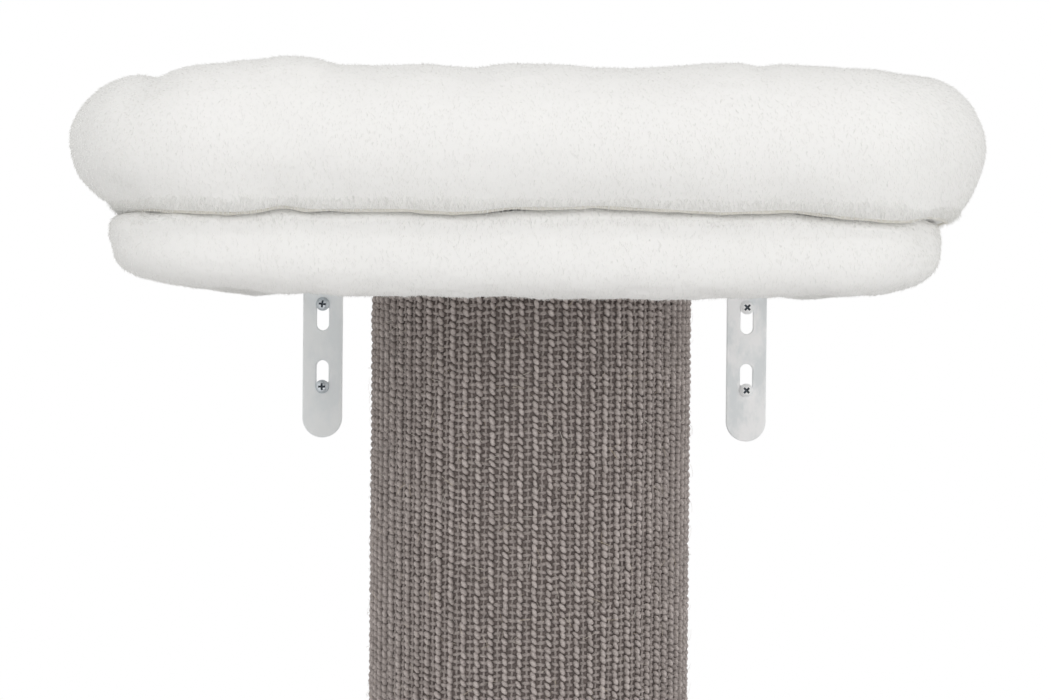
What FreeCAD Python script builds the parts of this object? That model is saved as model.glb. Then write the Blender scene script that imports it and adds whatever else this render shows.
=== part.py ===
import FreeCAD, Part
import math
import os
import re

import Sketcher
from FreeCAD import Placement, Rotation, Vector

# Wall mounted cat tree: a padded bed on an upholstered board, which two steel angle brackets hold to
# the wall, and a trunk wrapped in ribbed sisal matting that hangs from the board. Millimetres, +Z up,
# +Y into the wall, +X to the right of someone who faces the wall. The origin is on the wall, in the
# middle of the four screws of the two upper brackets.

SIZES = [
    ("bed_width", 510, "widest part of the bolster, over both sides"),
    ("bed_front", 415, "from the wall to the front of the bolster"),
    ("wall_gap", 4, "from the wall to the back of the bolster"),
    ("nest_corner", 16, "plan radius of the nest's corners, inside the bolster"),
    ("bolster_width", 84, "width of the bolster's roll"),
    ("bolster_height", 79.5, "height of the bolster's roll"),
    ("bolster_foot", 40, "flat foot under the roll"),
    ("bolster_foot_rise", 0.6, "air under the bolster where it lies on the platform"),
    ("overhang", 24, "how far the bolster stands out over the platform's side"),
    ("front_overhang", 28, "how far it stands out over the platform's front"),
    ("platform_corner", 70, "plan radius of the platform's corners"),
    ("platform_back", 6, "from the wall to the back of the platform cover"),
    ("edge_padding", 20, "padding round the edge of the board"),
    ("back_padding", 6, "cover behind the board"),
    ("hanging_rim", 56, "width of the padded rim that hangs below the board"),
    ("rim_drop", 17.4, "how far that rim hangs below the board"),
    ("rim_inner_drop", 6, "how far it still hangs at its inner end"),
    ("rim_low", 30, "from the platform's side to the rim's lowest line"),
    ("rim_wide_rise", 9, "from the board's underside up to the rim's widest line"),
    ("top_pinch", 14, "how far the platform's top seam is drawn in"),
    ("board_underside", 46, "height of the board's underside"),
    ("board_thickness", 18, ""),
    ("foam_thickness", 8, "foam sheet on the board"),
    ("cover_thickness", 1.5, "plush over the foam"),
    ("underside_thickness", 2, "plush under the board"),
    ("soft_gap", 0.3, "air between soft pieces and what they touch"),
    ("cover_slip", 0.1, "air between the cover and the board's underside"),
    ("foam_slip", 0.15, "air between the foam and the cover's top"),
    ("cover_lap", 1, "how far the cover's flat parts run into its rim"),
    ("slip", 0.1, "radial air between a fastener and its hole"),
    ("arm_gap", 2.8, "from each bracket's arm to the hanging rim beside it"),
    ("bracket_width", 29.4, ""),
    ("bracket_steel", 4, ""),
    ("bracket_bend", 4, "inner radius of the bend"),
    ("bracket_reach", 250, "from the wall to the end of the arm"),
    ("bracket_tail", 33.4, "from the lower slot's end to the end of the leg"),
    ("bracket_edge", 0.6, "bevel along the bracket's edges"),
    ("slot_pitch", 46.4, "between the middles of the two slots"),
    ("slot_length", 24.2, ""),
    ("slot_width", 9.2, ""),
    ("arm_hole_first", 60, "from the wall to the arm's first hole"),
    ("arm_hole_pitch", 80, ""),
    ("post_axis", 200, "from the wall to the trunk's axis"),
    ("post_length", 700, "trunk with its sisal"),
    ("post_radius", 100, "over the crests of the ribs"),
    ("mat_thickness", 5.5, ""),
    ("rib_height", 2.3, ""),
    ("rib_count", 74, "ribs round the trunk"),
    ("mat_joint", 1.2, "gap where the mat's two edges meet, behind the trunk"),
    ("tube_wall", 8, "wound paper tube"),
    ("plug_thickness", 18, ""),
    ("disc_thickness", 12, ""),
    ("disc_edge", 1.5, "chamfer of the bottom disc"),
    ("bolt_radius", 4, ""),
    ("bolt_length", 42, "under the head"),
    ("bolt_head_radius", 7.5, ""),
    ("bolt_head_height", 5, ""),
    ("washer_radius", 12, ""),
    ("washer_thickness", 2, ""),
    ("nut_barrel_radius", 5.4, ""),
    ("nut_barrel_length", 12, ""),
    ("nut_flange_radius", 12, ""),
    ("nut_flange_thickness", 1.6, ""),
    ("plug_screw_radius", 2.5, ""),
    ("plug_screw_length", 35, ""),
    ("plug_screw_circle", 58, "radius of the circle of screws into the top plug"),
    ("disc_screw_length", 28, ""),
    ("plug_screw_head", 5, "head radius"),
    ("wood_screw_radius", 2.2, "bracket screws"),
    ("wood_screw_length", 15, ""),
    ("lower_screw_length", 24, ""),
    ("wood_screw_head", 4.2, "head radius"),
    ("wall_screw_radius", 2.5, ""),
    ("wall_screw_length", 50, ""),
    ("wall_screw_head", 5.1, "head radius"),
    ("wall_screw_dome", 2.8, "head height"),
    ("cushion_gap", 1, "air between the floor cushion and the bolster"),
    ("cushion_height", 40, "at the crown"),
    ("cushion_widest", 15, "from the cushion's underside to its widest line"),
    ("cushion_rounding", 24, "how much rounder its corners are than the bolster's inside"),
    ("cushion_pinch", 9, "how far the cushion's edges are drawn in"),
    ("cushion_ridge", 1, "half of the shortest straight side on the cushion's crown"),
    ("base_thickness", 1.2, "woven bottom of the bed"),
    ("patch_length", 50, "hook and loop patches"),
    ("patch_width", 25, ""),
    ("patch_thickness", 1, ""),
    ("staple_crown", 10, ""),
    ("staple_leg", 8, ""),
    ("staple_wire", 1, ""),
    ("staple_pitch", 42, "along the edge of the platform's underside"),
    ("mat_staple_pitch", 55, "along the mat's joint"),
    ("mat_staple_offset", 8.5, "from the joint to each row of staples, along the mat"),
    ("plug_staple_leg", 20, "long staples through the tube into the plugs"),
    ("plug_staple_count", 6, "for each plug"),
]

PLACES = [
    ("bolster_foot_z", "board_top + foam_thickness + cover_thickness + bolster_foot_rise"),
    ("bolster_top_z", "bolster_foot_z + bolster_height"),
    ("bolster_waist_z", "bolster_top_z - bolster_width / 2"),
    ("bolster_lip", "bolster_width / 2 - bolster_foot / 2"),
    ("bolster_arc", "(bolster_lip^2 + (bolster_waist_z - bolster_foot_z)^2) / (2 * bolster_lip)"),
    ("bed_corner", "bolster_width + nest_corner"),
    ("board_top", "board_underside + board_thickness"),
    ("platform_top", "board_top + foam_thickness + cover_thickness"),
    ("platform_half", "bed_width / 2 - overhang"),
    ("platform_front", "bed_front - front_overhang"),
    ("board_half", "bed_width / 2 - overhang - edge_padding"),
    ("board_front", "bed_front - front_overhang - edge_padding"),
    ("board_back", "platform_back + back_padding"),
    ("board_corner", "platform_corner - edge_padding"),
    ("underside_half", "platform_half - hanging_rim - soft_gap"),
    ("underside_front", "platform_front - hanging_rim - soft_gap"),
    ("underside_corner", "platform_corner - hanging_rim - soft_gap"),
    ("bracket_spacing", "2 * (platform_half - hanging_rim - arm_gap - bracket_width / 2)"),
    ("post_top", "board_underside - underside_thickness"),
    ("post_bottom", "board_underside - underside_thickness - post_length"),
    ("arm_top", "board_underside - underside_thickness"),
    ("leg_end", "-slot_pitch / 2 - slot_length / 2 - bracket_tail"),
    ("screw_rise", "slot_pitch / 2 + slot_length / 2 - slot_width / 2"),
    ("tube_radius", "post_radius - mat_thickness"),
    ("plug_radius", "post_radius - mat_thickness - tube_wall"),
    ("bolt_seat", "board_top - bolt_head_height - washer_thickness"),
    ("recess_radius", "washer_radius + slip"),
    ("disc_bottom", "post_bottom - disc_thickness"),
    ("lower_drop", "disc_bottom - arm_top"),
    ("arm_hole_middle", "arm_hole_first + arm_hole_pitch"),
    ("arm_hole_last", "arm_hole_first + 2 * arm_hole_pitch"),
    ("base_low", "platform_top + soft_gap + 2 * patch_thickness"),
    ("base_drop", "bolster_waist_z - base_low - base_thickness"),
    ("base_inset", "bolster_width - bolster_arc + sqrt(bolster_arc^2 - base_drop^2) + soft_gap"),
    ("base_half", "bed_width / 2 - base_inset"),
    ("base_front", "bed_front - base_inset"),
    ("base_back", "wall_gap + base_inset"),
    ("cushion_low", "base_low + base_thickness + soft_gap"),
]

document = FreeCAD.newDocument("wall_cat_tree")


def fill_sheet(label, rows):
    """A spreadsheet with one named cell for each row, its meaning beside it."""
    sheet = document.addObject("Spreadsheet::Sheet", label)
    for row, (alias, content, note) in enumerate(rows, start=1):
        sheet.set(f"A{row}", alias)
        sheet.set(f"B{row}", content)
        sheet.set(f"C{row}", note)
        sheet.setAlias(f"B{row}", alias)
    document.recompute()
    return sheet


def formula(text):
    """The text of a formula with each size and place named by its sheet."""
    sheets = {row[0]: "Sizes." for row in SIZES}
    sheets.update({row[0]: "Places." for row in PLACES})
    return re.sub(r"[a-z][a-z_]+", lambda word: sheets.get(word[0], "") + word[0], text)


sizes = fill_sheet("Sizes", [(alias, str(value), note) for alias, value, note in SIZES])
places = fill_sheet("Places", [(alias, "=" + formula(text), text) for alias, text in PLACES])
reader = document.addObject("Spreadsheet::Sheet", "Reader")
value = {alias: float(getattr(sizes, alias)) for alias, _, _ in SIZES}
value.update({alias: float(getattr(places, alias)) for alias, _ in PLACES})


def bind(item, name, text):
    """Ties a property of a document object to a formula of sizes and places."""
    item.setExpression(name, formula(text))


# ---------------------------------------------------------------- sketches and features


def new_body(label):
    """An empty body, named as its node, at the row's origin."""
    made = document.addObject("PartDesign::Body", label)
    made.Label = label
    made.Placement = Placement()
    return made


def new_sketch(owner, role, name, height="0"):
    """An empty sketch on one of the body's own planes, lifted by a formula along its normal."""
    plane = next(item for item in owner.Origin.OriginFeatures if item.Role == role)
    made = owner.newObject("Sketcher::SketchObject", name)
    made.AttachmentSupport = [(plane, "")]
    made.MapMode = "FlatFace"
    bind(made, "AttachmentOffset.Base.z", height)
    document.recompute()
    return made


def tie(drawing, kind, geometry, point, text):
    """Holds one coordinate of a sketch point at a formula."""
    spot = drawing.getPoint(geometry, point)
    start = spot.x if kind == "DistanceX" else spot.y
    index = drawing.addConstraint(Sketcher.Constraint(kind, -1, 1, geometry, point, start))
    name = f"{kind}_{geometry}_{point}"
    drawing.renameConstraint(index, name)
    bind(drawing, f"Constraints.{name}", text)


def number(text):
    """The value of a formula of sums, differences, products and quotients, read in a sheet cell."""
    reader.set("A1", "=" + formula(text))
    reader.recompute()
    return float(reader.get("A1"))


def closed_lines(drawing, corners):
    """A closed outline of straight lines through points given as pairs of formulas."""
    spots = [Vector(number(x), number(y), 0) for x, y in corners]
    first = drawing.GeometryCount
    count = len(spots)
    for index in range(count):
        drawing.addGeometry(Part.LineSegment(spots[index], spots[(index + 1) % count]))
    for index in range(count):
        after = first + (index + 1) % count
        drawing.addConstraint(Sketcher.Constraint("Coincident", first + index, 2, after, 1))
    for index, (x, y) in enumerate(corners):
        tie(drawing, "DistanceX", first + index, 1, x)
        tie(drawing, "DistanceY", first + index, 1, y)


def ring(drawing, x, y, radius):
    """A circle whose centre and radius are formulas."""
    middle = Vector(number(x), number(y), 0)
    index = drawing.addGeometry(Part.Circle(middle, Vector(0, 0, 1), number(radius)))
    tie(drawing, "DistanceX", index, 3, x)
    tie(drawing, "DistanceY", index, 3, y)
    place = drawing.addConstraint(Sketcher.Constraint("Radius", index, number(radius)))
    drawing.renameConstraint(place, f"Radius_{index}")
    bind(drawing, f"Constraints.Radius_{index}", radius)


def round_ended(drawing, half, top, bottom, rounded_top):
    """A strip along the sketch's Y axis with a round bottom and a flat or round top."""
    h, t, b = number(half), number(top), number(bottom)
    first = drawing.GeometryCount
    drawing.addGeometry(Part.LineSegment(Vector(-h, t, 0), Vector(-h, b, 0)))
    lower = Part.Circle(Vector(0, b, 0), Vector(0, 0, 1), h)
    drawing.addGeometry(Part.ArcOfCircle(lower, math.pi, 2 * math.pi))
    drawing.addGeometry(Part.LineSegment(Vector(h, b, 0), Vector(h, t, 0)))
    if rounded_top:
        upper = Part.Circle(Vector(0, t, 0), Vector(0, 0, 1), h)
        drawing.addGeometry(Part.ArcOfCircle(upper, 0, math.pi))
    else:
        drawing.addGeometry(Part.LineSegment(Vector(h, t, 0), Vector(-h, t, 0)))
    joins = [(0, 2, 1, 1), (1, 2, 2, 1), (2, 2, 3, 1), (3, 2, 0, 1)]
    for a, end, c, start in joins:
        drawing.addConstraint(Sketcher.Constraint("Coincident", first + a, end, first + c, start))
    tie(drawing, "DistanceX", first, 1, f"-({half})")
    tie(drawing, "DistanceY", first, 1, top)
    tie(drawing, "DistanceX", first, 2, f"-({half})")
    tie(drawing, "DistanceY", first, 2, bottom)
    tie(drawing, "DistanceX", first + 2, 1, half)
    tie(drawing, "DistanceY", first + 2, 1, bottom)
    tie(drawing, "DistanceX", first + 2, 2, half)
    tie(drawing, "DistanceY", first + 2, 2, top)
    tie(drawing, "DistanceY", first + 1, 3, bottom)
    if rounded_top:
        tie(drawing, "DistanceY", first + 3, 3, top)


def pad(owner, drawing, name, thickness, reverse=False):
    """Thickens a sketch into a solid."""
    made = owner.newObject("PartDesign::Pad", name)
    made.Profile = drawing
    made.Reversed = reverse
    bind(made, "Length", thickness)
    owner.Tip = made
    document.recompute()
    return made


def pocket(owner, drawing, name, depth):
    """Cuts a sketch downwards into its body and checks that it removed something."""
    before = owner.Shape.Volume
    made = owner.newObject("PartDesign::Pocket", name)
    made.Profile = drawing
    bind(made, "Length", depth)
    owner.Tip = made
    document.recompute()
    if owner.Shape.Volume >= before:
        raise RuntimeError(f"{name} removed nothing")
    return made


def drill(owner, name, spots, radius, top, bottom):
    """Round holes, straight down from one height to another."""
    drawing = new_sketch(owner, "XY_Plane", name + "_sketch", top)
    for x, y in spots:
        ring(drawing, x, y, radius)
    document.recompute()
    return pocket(owner, drawing, name, f"({top}) - ({bottom})")


def dress(owner, kind, name, edges, text):
    """A fillet or a chamfer, along the edges of the finished body that a test picks."""
    base = owner.Tip
    chosen = [f"Edge{i}" for i, edge in enumerate(base.Shape.Edges, start=1) if edges(edge)]
    made = owner.newObject(f"PartDesign::{kind}", name)
    made.Base = (base, chosen)
    bind(made, "Radius" if kind == "Fillet" else "Size", text)
    owner.Tip = made
    document.recompute()
    return made


def turned(label, corners):
    """A body turned about the Z axis from an outline of (radius, height) formulas."""
    owner = new_body(label)
    drawing = new_sketch(owner, "XZ_Plane", label + "_outline")
    closed_lines(drawing, corners)
    made = owner.newObject("PartDesign::Revolution", label + "_turned")
    made.Profile = drawing
    made.ReferenceAxis = (drawing, ["V_Axis"])
    made.Angle = 360
    owner.Tip = made
    document.recompute()
    return owner


def slab(label, half, front, back, corner, low, thickness):
    """A flat sheet with rounded corners, between two distances from the wall."""
    owner = new_body(label)
    drawing = new_sketch(owner, "XY_Plane", label + "_outline", low)
    corners = [(f"-({half})", f"-({front})"), (half, f"-({front})")]
    corners += [(half, f"-({back})"), (f"-({half})", f"-({back})")]
    closed_lines(drawing, corners)
    pad(owner, drawing, label + "_sheet", thickness)
    dress(owner, "Fillet", label + "_corners", upright, corner)
    return owner


def upright(edge):
    """True for a straight edge along Z."""
    ends = edge.Vertexes
    return len(ends) == 2 and math.hypot(ends[0].X - ends[1].X, ends[0].Y - ends[1].Y) < 1e-6


def group(label, shapes):
    """One node of identical pieces, each still a solid of its own."""
    made = document.addObject("Part::Feature", label)
    made.Label = label
    made.Shape = Part.makeCompound(shapes)
    made.Placement = Placement()
    return made


def copies(master, spots):
    """The master's solid at each placement."""
    return [master.Shape.transformed(spot.toMatrix(), True) for spot in spots]


def at(x, y, z, rotation=None):
    """A placement from plain numbers."""
    return Placement(Vector(x, y, z), rotation or Rotation())


def round_spots(radius, angles):
    """Pairs of formulas for points round the trunk's axis."""
    rows = []
    for angle in angles:
        across = math.cos(math.radians(angle))
        along = math.sin(math.radians(angle))
        rows.append((f"{radius} * {across:.6f}", f"-post_axis + {radius} * {along:.6f}"))
    return rows


# ---------------------------------------------------------------- fasteners

PLUG_SCREW_ANGLES = (30, 150, 270)
POINT_LENGTH = "1.5"  # of a wood screw's point, in shank radii
POINT_RADIUS = "0.3"
PAN_RIM = "0.35"  # height of a pan head's upright rim, as a share of the head's
PAN_TOP = "0.6"  # radius of a pan head's flat top, as a share of the head's
BOLT_RIM = "0.75"  # the same two shares for the bolt's head
BOLT_TOP = "0.85"
ARM_HOLES = ("arm_hole_first", "arm_hole_middle", "arm_hole_last")
AXIS_SPOT = [("0", "-post_axis")]


def countersunk_screw(label, radius, head, length):
    """A countersunk wood screw, its head's top at the origin and its point below."""
    outline = [("0", "0"), (head, "0"), (radius, f"{radius} - {head}")]
    outline.append((radius, f"{POINT_LENGTH} * {radius} - {length}"))
    outline += [(POINT_RADIUS, f"-{length}"), ("0", f"-{length}")]
    return turned(label, outline)


def pan_screw():
    """A wall screw with a low domed head; its head seats at the origin."""
    outline = [("0", "-wall_screw_length"), (POINT_RADIUS, "-wall_screw_length")]
    outline += [("wall_screw_radius", "2 * wall_screw_radius - wall_screw_length")]
    outline += [("wall_screw_radius", "0"), ("wall_screw_head", "0")]
    outline += [("wall_screw_head", f"{PAN_RIM} * wall_screw_dome")]
    outline += [(f"{PAN_TOP} * wall_screw_head", "wall_screw_dome"), ("0", "wall_screw_dome")]
    return turned("wall_screw_pattern", outline)


def make_wall_screws():
    """Four screws in the upper brackets' slots and two in the lower bracket's."""
    master = pan_screw()
    turn = Rotation(Vector(1, 0, 0), 90)
    half, rise = value["bracket_spacing"] / 2, value["screw_rise"]
    face, drop = -value["bracket_steel"], value["lower_drop"]
    upper = [at(x, face, z, turn) for x in (-half, half) for z in (rise, -rise)]
    lower = [at(0, face, drop + z, turn) for z in (rise, -rise)]
    rows = (("wall_screws", upper), ("lower_wall_screws", lower))
    return [group(label, copies(master, spots)) for label, spots in rows]


def make_wood_screws():
    """Screws through the bracket arms, and screws that hold the board and the disc to the plugs."""
    up = Rotation(Vector(1, 0, 0), 180)
    under = value["arm_top"] - value["bracket_steel"]
    half = value["bracket_spacing"] / 2
    small, large = ("wood_screw_radius", "wood_screw_head"), ("plug_screw_radius", "plug_screw_head")
    short = countersunk_screw("arm_screw_pattern", *small, "wood_screw_length")
    arm = [at(x, -value[y], under, up) for x in (-half, half) for y in ARM_HOLES]
    longer = countersunk_screw("low_screw_pattern", *small, "lower_screw_length")
    low = [at(0, -value[y], under + value["lower_drop"], up) for y in ARM_HOLES[1:]]
    plug = countersunk_screw("plug_screw_pattern", *large, "plug_screw_length")
    disc = countersunk_screw("disc_screw_pattern", *large, "disc_screw_length")
    circle = []
    for angle in PLUG_SCREW_ANGLES:
        spot = Vector(value["plug_screw_circle"], 0, 0)
        spot = Rotation(Vector(0, 0, 1), angle).multVec(spot)
        circle.append(spot - Vector(0, value["post_axis"], 0))
    high = [at(spot.x, spot.y, value["board_top"]) for spot in circle]
    bottom = [at(spot.x, spot.y, value["disc_bottom"], up) for spot in circle]
    return [
        group("bracket_screws", copies(short, arm)),
        group("lower_bracket_screws", copies(longer, low)),
        group("plug_screws", copies(plug, high)),
        group("disc_screws", copies(disc, bottom)),
    ]


def make_bolt():
    """The bolt on the trunk's axis, with its washer and the tee nut under the top plug."""
    seat = "bolt_seat + washer_thickness"
    bolt = turned(
        "trunk_bolt",
        [
            ("0", f"{seat} + bolt_head_height"),
            (f"{BOLT_TOP} * bolt_head_radius", f"{seat} + bolt_head_height"),
            ("bolt_head_radius", f"{seat} + {BOLT_RIM} * bolt_head_height"),
            ("bolt_head_radius", seat),
            ("bolt_radius", seat),
            ("bolt_radius", f"{seat} - bolt_length + 1"),
            ("bolt_radius - 1", f"{seat} - bolt_length"),
            ("0", f"{seat} - bolt_length"),
        ],
    )
    washer = turned(
        "bolt_washer",
        [
            ("bolt_radius + slip", "bolt_seat"),
            ("washer_radius", "bolt_seat"),
            ("washer_radius", seat),
            ("bolt_radius + slip", seat),
        ],
    )
    low = "post_top - plug_thickness"
    nut = turned(
        "tee_nut",
        [
            ("bolt_radius + slip", f"{low} - nut_flange_thickness"),
            ("nut_flange_radius", f"{low} - nut_flange_thickness"),
            ("nut_flange_radius", low),
            ("nut_barrel_radius", low),
            ("nut_barrel_radius", f"{low} + nut_barrel_length"),
            ("bolt_radius + slip", f"{low} + nut_barrel_length"),
        ],
    )
    made = [bolt, washer, nut]
    for item in made:
        bind(item, "Placement.Base.y", "-post_axis")
    return made


def staple(width, leg, wire):
    """A wire staple, its crown on the plane z = 0 and its legs up."""
    crown = Part.makeBox(width, wire, wire, Vector(-width / 2, -wire / 2, -wire))
    left = Part.makeBox(wire, wire, leg, Vector(-width / 2, -wire / 2, 0))
    right = Part.makeBox(wire, wire, leg, Vector(width / 2 - wire, -wire / 2, 0))
    return crown.fuse([left, right]).removeSplitter()


def make_cover_staples():
    """Staples round the edge of the underside sheet, clear of the bracket arms."""
    wire = staple(value["staple_crown"], value["staple_leg"], value["staple_wire"])
    inset = value["staple_crown"]
    half = value["underside_half"] - inset
    front, back = value["underside_front"] - inset, value["board_back"] + inset
    arm = value["bracket_spacing"] / 2
    spots = []
    across = int(2 * half // value["staple_pitch"])
    along = int((front - back) // value["staple_pitch"])
    for step in range(across):
        x = (step - (across - 1) / 2) * value["staple_pitch"]
        spots.append(at(x, -front, value["arm_top"]))
        if abs(abs(x) - arm) > value["bracket_width"]:
            spots.append(at(x, -back, value["arm_top"]))
    quarter = Rotation(Vector(0, 0, 1), 90)
    for step in range(1, along):
        y = -back - step * (front - back) / along
        if y < -value["bracket_reach"] - inset:
            spots += [at(side, y, value["arm_top"], quarter) for side in (-half, half)]
    return group("cover_staples", [wire.transformed(spot.toMatrix(), True) for spot in spots])


def make_mat_staples():
    """Two rows of staples that pin the mat's edges to the tube, behind the trunk."""
    wire = staple(value["staple_crown"], value["staple_leg"], value["staple_wire"])
    count = int(value["post_length"] // value["mat_staple_pitch"])
    first = value["post_bottom"] + (value["post_length"] - (count - 1) * value["mat_staple_pitch"]) / 2
    lean = math.degrees(value["mat_staple_offset"] / value["post_radius"])
    crest = value["post_radius"] - value["rib_height"]
    shapes = []
    for row in range(count):
        for angle in (-lean, lean):
            flat = Rotation(Vector(1, 0, 0), 90)
            turn = Rotation(Vector(0, 0, 1), angle)
            spot = turn.multVec(Vector(0, crest, 0))
            z = first + row * value["mat_staple_pitch"]
            place = at(spot.x, spot.y - value["post_axis"], z, turn.multiply(flat))
            shapes.append(wire.transformed(place.toMatrix(), True))
    return group("mat_staples", shapes)


def make_plug_staples():
    """Long staples through the tube into both plugs, under the mat."""
    wire = staple(value["staple_crown"], value["plug_staple_leg"], value["staple_wire"])
    count = int(value["plug_staple_count"])
    levels = [value["post_top"] - value["plug_thickness"] / 2]
    levels.append(value["post_bottom"] + value["plug_thickness"] / 2)
    sunk = value["tube_radius"] - value["staple_wire"] - value["soft_gap"]
    flat = Rotation(Vector(1, 0, 0), 90)
    shapes = []
    for z in levels:
        for index in range(count):
            turn = Rotation(Vector(0, 0, 1), 360 * (index + 0.5) / count)
            spot = turn.multVec(Vector(0, sunk, 0))
            place = at(spot.x, spot.y - value["post_axis"], z, turn.multiply(flat))
            shapes.append(wire.transformed(place.toMatrix(), True))
    return group("plug_staples", shapes)


# ---------------------------------------------------------------- brackets


def bracket(label, x, drop):
    """A flat steel angle: a slotted leg down the wall, a bend and an arm under what it carries."""
    owner = new_body(label)
    inside = "bracket_steel + bracket_bend"
    leg = new_sketch(owner, "XZ_Plane", label + "_leg_outline")
    round_ended(leg, "bracket_width / 2", f"arm_top - ({inside})", "leg_end + bracket_width / 2", False)
    for side in ("", "-"):
        middle = f"{side}slot_pitch / 2"
        straight = "slot_length / 2 - slot_width / 2"
        round_ended(leg, "slot_width / 2", f"{middle} + {straight}", f"{middle} - ({straight})", True)
    pad(owner, leg, label + "_leg", "bracket_steel")
    arm = new_sketch(owner, "XY_Plane", label + "_arm_outline", "arm_top - bracket_steel")
    round_ended(arm, "bracket_width / 2", f"-({inside})", "bracket_width / 2 - bracket_reach", False)
    for spot in ARM_HOLES:
        ring(arm, "0", f"-{spot}", "wood_screw_radius + slip")
    pad(owner, arm, label + "_arm", "bracket_steel")
    bend = new_sketch(owner, "XY_Plane", label + "_bend_outline", f"arm_top - ({inside})")
    half, face = "bracket_width / 2", "-bracket_steel"
    closed_lines(bend, [(f"-{half}", "0"), (f"-{half}", face), (half, face), (half, "0")])
    centre = -number(inside)
    axis = bend.addGeometry(Part.LineSegment(Vector(-1, centre, 0), Vector(1, centre, 0)), True)
    tie(bend, "DistanceX", axis, 1, "-1")
    tie(bend, "DistanceX", axis, 2, "1")
    tie(bend, "DistanceY", axis, 1, f"-({inside})")
    tie(bend, "DistanceY", axis, 2, f"-({inside})")
    elbow = owner.newObject("PartDesign::Revolution", label + "_bend")
    elbow.Profile = bend
    elbow.ReferenceAxis = (bend, ["Axis0"])
    elbow.Angle = 90
    owner.Tip = elbow
    document.recompute()
    under = value["arm_top"] - value["bracket_steel"]

    def hole_rim(edge):
        """True for the lower rim of a screw hole."""
        low = abs(edge.BoundBox.ZMin - under) < 1e-4 and abs(edge.BoundBox.ZMax - under) < 1e-4
        return low and edge.BoundBox.YLength < 3 * value["wood_screw_radius"]

    dress(owner, "Chamfer", label + "_countersinks", hole_rim, "wood_screw_head - wood_screw_radius")

    def open_side(edge):
        """True for the edges of the leg's front and of the arm's underside, apart from screw holes."""
        box = edge.BoundBox
        front = abs(box.YMin + value["bracket_steel"]) < 1e-3 and box.YLength < 1e-3
        below = abs(box.ZMin - under) < 1e-3 and box.ZLength < 1e-3
        hole = below and max(box.XLength, box.YLength) < value["bracket_width"] / 2
        return (front or below) and not hole

    dress(owner, "Chamfer", label + "_eased_edges", open_side, "bracket_edge")
    bind(owner, "Placement.Base.x", x)
    bind(owner, "Placement.Base.z", drop)
    document.recompute()
    return owner


# ---------------------------------------------------------------- board and trunk


def make_board():
    """The platform board with the recess for the bolt and the holes for its screws."""
    plan = ("board_half", "board_front", "board_back", "board_corner")
    made = slab("platform_board", *plan, "board_underside", "board_thickness")
    drill(made, "bolt_recess", AXIS_SPOT, "recess_radius", "board_top", "bolt_seat")
    drill(made, "bolt_hole", AXIS_SPOT, "bolt_radius + slip", "board_top", "board_underside")
    ring_spots = round_spots("plug_screw_circle", PLUG_SCREW_ANGLES)
    drill(made, "plug_screw_holes", ring_spots, "plug_screw_radius + slip", "board_top", "board_underside")
    top = value["board_top"]

    def screw_rim(edge):
        """True for the upper rim of a plug screw hole."""
        flat = abs(edge.BoundBox.ZMin - top) < 1e-4 and abs(edge.BoundBox.ZMax - top) < 1e-4
        return flat and edge.BoundBox.XLength < 3 * value["plug_screw_radius"]

    dress(made, "Chamfer", "plug_screw_countersinks", screw_rim, "plug_screw_head - plug_screw_radius")
    arm_spots = [(side + "bracket_spacing / 2", f"-{spot}") for side in ("", "-") for spot in ARM_HOLES]
    screw_end = "arm_top - bracket_steel + wood_screw_length + slip"
    drill(made, "arm_screw_holes", arm_spots, "wood_screw_radius + slip", screw_end, "board_underside")
    return made


def make_underside():
    """The plush sheet on the board's underside, between the padded rim and the wall."""
    plan = ("underside_half", "underside_front", "board_back", "underside_corner")
    made = slab("underside_cover", *plan, "arm_top", "underside_thickness")
    drill(made, "sheet_bolt_hole", AXIS_SPOT, "bolt_radius + slip", "board_underside", "arm_top")
    ring_spots = round_spots("plug_screw_circle", PLUG_SCREW_ANGLES)
    drill(made, "sheet_plug_holes", ring_spots, "plug_screw_radius + slip", "board_underside", "arm_top")
    arm_spots = [(side + "bracket_spacing / 2", f"-{spot}") for side in ("", "-") for spot in ARM_HOLES]
    drill(made, "sheet_arm_holes", arm_spots, "wood_screw_radius + slip", "board_underside", "arm_top")
    return made


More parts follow.
